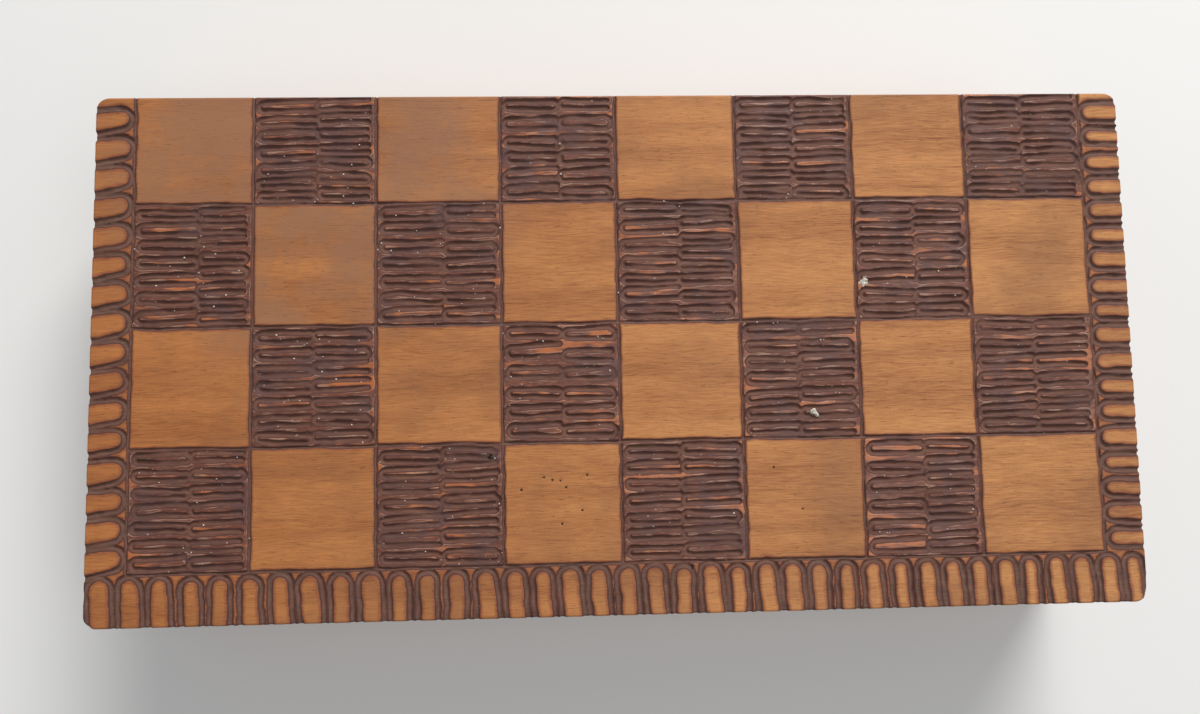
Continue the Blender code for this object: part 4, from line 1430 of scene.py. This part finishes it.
def bent_wire_tree():
    """Round wire along the edges of a guide, whose thickness attribute tapers its ends."""
    tree, given, out = new_tree(
        "bent_wire",
        "GeometryNodeTree",
        {
            "Geometry": ("Geometry", None),
            "Wire Radius": ("Float", HOOK_WIRE_RADIUS),
            "Sides": ("Int", 16),
            "Material": ("Material", None),
        },
        {"Geometry": ("Geometry", None)},
    )
    path = node(tree, "GeometryNodeMeshToCurve", {"Mesh": given["Geometry"]}).outputs[0]
    section = node(
        tree,
        "GeometryNodeCurvePrimitiveCircle",
        {"Resolution": given["Sides"], "Radius": given["Wire Radius"]},
    ).outputs[0]
    thickness = named(tree, "thickness")
    bent = node(tree, "GeometryNodeCurveToMesh", {"Curve": path, "Profile Curve": section, "Fill Caps": True})
    if "Scale" in bent.inputs:
        tree.links.new(thickness, bent.inputs["Scale"])
    else:
        sized = node(tree, "GeometryNodeSetCurveRadius", {"Curve": path, "Radius": thickness}).outputs[0]
        tree.links.new(sized, bent.inputs["Curve"])
    real = node(tree, "GeometryNodeRealizeInstances", {"Geometry": bent.outputs[0]})
    dressed = node(tree, "GeometryNodeSetMaterial", {"Geometry": real.outputs[0], "Material": given["Material"]})
    tree.links.new(dressed.outputs[0], out["Geometry"])
    return tree


def swept_arc(centre, radius, start, end, steps):
    """(x, z) points along an arc, with its angles in degrees."""
    angles = np.radians(np.linspace(start, end, steps + 1))
    return [(centre[0] + radius * math.cos(a), centre[1] + radius * math.sin(a)) for a in angles]


def hook_guide():
    """The hook's wire from its pivot at the origin: a closed ring, then shank, crook and tail."""
    ring = swept_arc((0, 0), HOOK_RING_RADIUS, 0, 360, 40)[:-1]
    crook = swept_arc((0, -HOOK_LENGTH), HOOK_RING_RADIUS, 150, 270, 16)
    start = Vector((0, -HOOK_RING_RADIUS))
    bend = Vector((0, -HOOK_LENGTH + 2.2 * HOOK_RING_RADIUS))
    entry = Vector(crook[0])
    pull = (bend - entry).length / 3
    leave = bend + Vector((0, -pull))
    arrive = entry + pull * Vector((math.sin(math.radians(150)), -math.cos(math.radians(150))))
    shank = [start, start.lerp(bend, 0.5)]
    for step in range(10):
        t = step / 10
        s = 1 - t
        shank.append(s**3 * bend + 3 * s * s * t * leave + 3 * s * t * t * arrive + t**3 * entry)
    tail_z = -HOOK_LENGTH - HOOK_RING_RADIUS
    route = [tuple(point) for point in shank] + crook
    thickness = [1.0] * (len(ring) + len(route))
    for share, size in ((0.0, 1.0), (0.5, 0.87), (0.8, 0.6), (0.95, 0.3)):
        route.append((HOOK_TAIL - HOOK_WIRE_RADIUS * (1 - share), tail_z))
        thickness.append(size)
    points = ring + route
    edges = [(i, (i + 1) % len(ring)) for i in range(len(ring))]
    edges += [(i, i + 1) for i in range(len(ring), len(points) - 1)]
    mesh = bpy.data.meshes.new("catch_hook_wire")
    mesh.from_pydata([(x, 0, z) for x, z in points], edges, [])
    layer = mesh.attributes.new("thickness", "FLOAT", "POINT")
    layer.data.foreach_set("value", thickness)
    return mesh


def turned(name, profile, steps):
    """A solid turned about Z from (radius, height) points that start and end on the axis."""
    form = bmesh.new()
    points = [form.verts.new((radius, 0, height)) for radius, height in profile]
    edges = [form.edges.new(pair) for pair in zip(points, points[1:])]
    bmesh.ops.spin(
        form, geom=points + edges, cent=(0, 0, 0), axis=(0, 0, 1), angle=2 * math.pi, steps=steps, use_merge=True
    )
    bmesh.ops.remove_doubles(form, verts=form.verts, dist=1e-7)
    bmesh.ops.recalc_face_normals(form, faces=form.faces)
    mesh = bpy.data.meshes.new(name)
    form.to_mesh(mesh)
    form.free()
    return mesh


def catch_pin_mesh(name, slotted):
    """A round-headed pin that stands out of the front rail, head towards -Y."""
    low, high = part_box(name)
    length = high[1] - low[1]
    head = (high[0] - low[0]) / 2
    dome = 0.7 * MM
    rim = 0.2 * MM
    shank = 1.0 * MM
    arc = np.radians(np.linspace(0, 80, 9))
    profile = [(0, dome)] + [(head * math.sin(a), rim + (dome - rim) * math.cos(a)) for a in arc[1:]]
    profile += [(head, rim), (head, 0.1 * MM), (head - 0.1 * MM, 0), (shank, 0)]
    profile += [(shank, dome - length + shank), (0, dome - length)]
    mesh = turned(name, profile, 36)
    if slotted:
        mesh = cut_away(mesh, prism("slot", rectangle(0.2 * MM, 2 * head), dome - 0.4 * MM, dome + 1 * MM))
    mesh.shade_smooth()
    mesh.set_sharp_from_angle(angle=math.radians(40))
    aim = Matrix.Rotation(math.pi / 2, 4, "X") @ Matrix.Rotation(0.4, 4, "Z")
    middle = Vector(((low[0] + high[0]) / 2, low[1] + dome, (low[2] + high[2]) / 2))
    mesh.transform(Matrix.Translation(middle) @ aim)
    return mesh


def make_catch():
    low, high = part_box("catch_hook")
    pivot_low, pivot_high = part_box("catch_pivot_screw")
    pivot = Vector(((pivot_low[0] + pivot_high[0]) / 2, (low[1] + high[1]) / 2, (pivot_low[2] + pivot_high[2]) / 2))
    wire = grown(hook_guide(), bent_wire_tree(), {"Material": CATCH_BRASS})
    wire.shade_smooth()
    wire.transform(Matrix.Translation(pivot))
    piece("catch_hook_wire", wire, "hook", "catch_hook", slot="catch_brass")
    for name, body, slotted in (("catch_pivot_screw", "upper_tray", True), ("catch_peg", "lower_tray", False)):
        mesh = catch_pin_mesh(name, slotted)
        piece(f"{name}_turned", mesh, body, name, material=CATCH_BRASS, slot="catch_brass")


make_catch()

# ---------------------------------------------------------------- checkers and dice


def checker_profile(radius, thickness):
    """Half section of a turned checker: dished middle, a ring, a groove and a rolled rim, both sides."""
    half = thickness / 2
    side = (
        (0.0, -1.0),
        (0.2, -0.97),
        (0.36, -0.84),
        (0.45, -0.5),
        (0.48, -0.12),
        (0.52, -0.02),
        (0.58, -0.05),
        (0.61, -0.4),
        (0.65, -0.5),
        (0.69, -0.4),
        (0.72, -0.1),
        (0.76, 0.0),
        (0.86, 0.0),
        (0.925, -0.1),
        (0.97, -0.42),
        (0.992, -0.9),
        (1.0, -1.7),
    )
    deep = 0.85 * MM
    top = [(radius * r, half + deep * z) for r, z in side]
    bottom = [(r, -z) for r, z in reversed(top)]
    return top + [(radius, 0.0)] + bottom


def make_checkers():
    low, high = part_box("checker_light_01")
    radius = (high[0] - low[0]) / 2
    thickness = high[2] - low[2]
    blank = turned("checker", checker_profile(radius, thickness), 40)
    blank.shade_smooth()
    blank.set_sharp_from_angle(angle=math.radians(60))
    luck = random.Random(4)
    for colour, wood in (("light", PALE_CHECKER_WOOD), ("dark", DARK_CHECKER_WOOD)):
        for number in range(1, 16):
            name = f"checker_{colour}_{number:02d}"
            low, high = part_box(name)
            mesh = blank.copy()
            middle = (Vector(low) + Vector(high)) / 2
            mesh.transform(Matrix.Translation(middle) @ Matrix.Rotation(luck.uniform(0, 3), 4, "Z"))
            body = f"{colour}_{number:02d}_piece"
            piece(f"{name}_turned", mesh, body, name, material=wood, slot=f"checker_{colour}_wood")


def rounded_die_tree():
    """A cube with rounded edges and pips sunk at the points of a guide."""
    tree, given, out = new_tree(
        "rounded_die",
        "GeometryNodeTree",
        {
            "Geometry": ("Geometry", None),
            "Size": ("Float", 10 * MM),
            "Rounding": ("Float", 1.2 * MM),
            "Pip Radius": ("Float", 0.85 * MM),
            "Pip Depth": ("Float", 0.4 * MM),
            "Material": ("Material", None),
        },
        {"Geometry": ("Geometry", None)},
    )
    half = calc(tree, "MULTIPLY", given["Size"], 0.5)
    size = node(tree, "ShaderNodeCombineXYZ", {0: given["Size"], 1: given["Size"], 2: given["Size"]}).outputs[0]
    cube = node(
        tree,
        "GeometryNodeMeshCube",
        {"Size": size, "Vertices X": 41, "Vertices Y": 41, "Vertices Z": 41},
    )
    core = calc(tree, "SUBTRACT", half, given["Rounding"])
    core_high = node(tree, "ShaderNodeCombineXYZ", {0: core, 1: core, 2: core}).outputs[0]
    core_low = along(tree, "SCALE", core_high, -1.0)
    place = node(tree, "GeometryNodeInputPosition").outputs[0]
    held = along(tree, "MAXIMUM", along(tree, "MINIMUM", place, core_high), core_low)
    outward = along(tree, "NORMALIZE", along(tree, "SUBTRACT", place, held))
    surface = along(tree, "ADD", held, along(tree, "SCALE", outward, given["Rounding"]))
    gap = node(
        tree,
        "GeometryNodeProximity",
        {0: given["Geometry"], "Sample Position": surface},
        target_element="POINTS",
    ).outputs["Distance"]
    share = calc(tree, "MINIMUM", calc(tree, "DIVIDE", gap, given["Pip Radius"]), 1.0)
    fill = calc(tree, "SUBTRACT", 1.0, calc(tree, "MULTIPLY", share, share))
    sunk = calc(tree, "MULTIPLY", fill, calc(tree, "MULTIPLY", given["Pip Depth"], -1.0))
    target = along(tree, "ADD", surface, along(tree, "SCALE", outward, sunk))
    marked = node(
        tree,
        "GeometryNodeStoreNamedAttribute",
        {"Geometry": cube.outputs[0], "Name": "pip", "Value": fill},
        data_type="FLOAT",
        domain="POINT",
    )
    moved = node(tree, "GeometryNodeSetPosition", {"Geometry": marked.outputs[0], "Position": target})
    real = node(tree, "GeometryNodeRealizeInstances", {"Geometry": moved.outputs[0]})
    dressed = node(tree, "GeometryNodeSetMaterial", {"Geometry": real.outputs[0], "Material": given["Material"]})
    tree.links.new(dressed.outputs[0], out["Geometry"])
    return tree


def pip_guide(half):
    """Pip centres on the six faces of a die, where opposite faces add up to seven."""
    near = half * 0.48
    one = [(0, 0)]
    two = [(-near, -near), (near, near)]
    four = two + [(-near, near), (near, -near)]
    six = four + [(-near, 0), (near, 0)]
    faces = (
        (one, (0, 0, 1)),
        (six, (0, 0, -1)),
        (two, (1, 0, 0)),
        (one + four, (-1, 0, 0)),
        (one + two, (0, 1, 0)),
        (four, (0, -1, 0)),
    )
    points = []
    for spots, outward in faces:
        outward = Vector(outward)
        across = outward.zxy
        other = outward.cross(across)
        points += [outward * half + across * u + other * v for u, v in spots]
    mesh = bpy.data.meshes.new("pips")
    mesh.from_pydata(points, [], [])
    return mesh


def make_dice():
    tree = rounded_die_tree()
    for number, turn in ((1, (0, 0, 0)), (2, (math.pi / 2, math.pi / 2, 0))):
        name = f"die_{number}"
        low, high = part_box(name)
        size = high[0] - low[0]
        mesh = grown(pip_guide(size / 2), tree, {"Size": size, "Material": BONE})
        lie = Matrix.Rotation(turn[0], 4, "X") @ Matrix.Rotation(turn[1], 4, "Y")
        mesh.transform(Matrix.Translation((Vector(low) + Vector(high)) / 2) @ lie)
        mesh.shade_smooth()
        piece(f"{name}_bone", mesh, f"{name}_piece", name, slot="die_bone")


make_checkers()
make_dice()

# ---------------------------------------------------------------- stage


def soft_light(name, place, aim, size, power, colour=(1, 1, 1)):
    lamp = bpy.data.lights.new(name, "AREA")
    lamp.shape = "ELLIPSE"
    lamp.size, lamp.size_y = size
    lamp.energy = power
    lamp.color = colour
    made = bpy.data.objects.new(name, lamp)
    made.location = place
    made.rotation_euler = (Vector(aim) - Vector(place)).to_track_quat("-Z", "Y").to_euler()
    bpy.context.scene.collection.objects.link(made)


FLOOR_GAP = 0.1 * MM


def make_stage():
    form = bmesh.new()
    bmesh.ops.create_grid(form, x_segments=1, y_segments=1, size=4)
    mesh = bpy.data.meshes.new("floor")
    bmesh.ops.translate(form, vec=(0, 0, -FLOOR_GAP), verts=form.verts)
    form.to_mesh(mesh)
    form.free()
    mesh.materials.append(backdrop("pale_floor"))
    floor = bpy.data.objects.new("floor", mesh)
    bpy.context.scene.collection.objects.link(floor)
    soft_light("window", (0.5, 1.5, 1.1), (0, 0, 0), (1.3, 0.5), 36.0, (1.0, 0.985, 0.96))
    soft_light("ceiling", (0.55, -0.2, 1.4), (0, 0, 0), (1.2, 1.2), 5.5)
    world = bpy.data.worlds.new("room")
    world.use_nodes = True
    sky = world.node_tree.nodes["Background"]
    sky.inputs["Color"].default_value = (0.95, 0.97, 1.0, 1)
    sky.inputs["Strength"].default_value = 0.29
    bpy.context.scene.world = world
    bpy.context.scene.view_settings.view_transform = "Standard"


def make_camera():
    """Held close above the board, tipped a little so that the near edge comes out larger."""
    place = Vector((-0.0123, -0.017, 0.2386))
    ahead = Vector((0.0365, 0.0771, -0.9964)).normalized()
    rightward = ahead.cross(Vector((0.0158, 0.9969, 0.0777))).normalized()
    upward = rightward.cross(ahead)
    lens = bpy.data.cameras.new("camera")
    lens.lens = 26
    lens.sensor_width = 36
    lens.clip_start = 0.01
    made = bpy.data.objects.new("camera", lens)
    turn = Matrix((rightward, upward, -ahead)).transposed().to_4x4()
    made.matrix_world = Matrix.Translation(place) @ turn
    bpy.context.scene.collection.objects.link(made)
    bpy.context.scene.camera = made


make_stage()
make_camera()
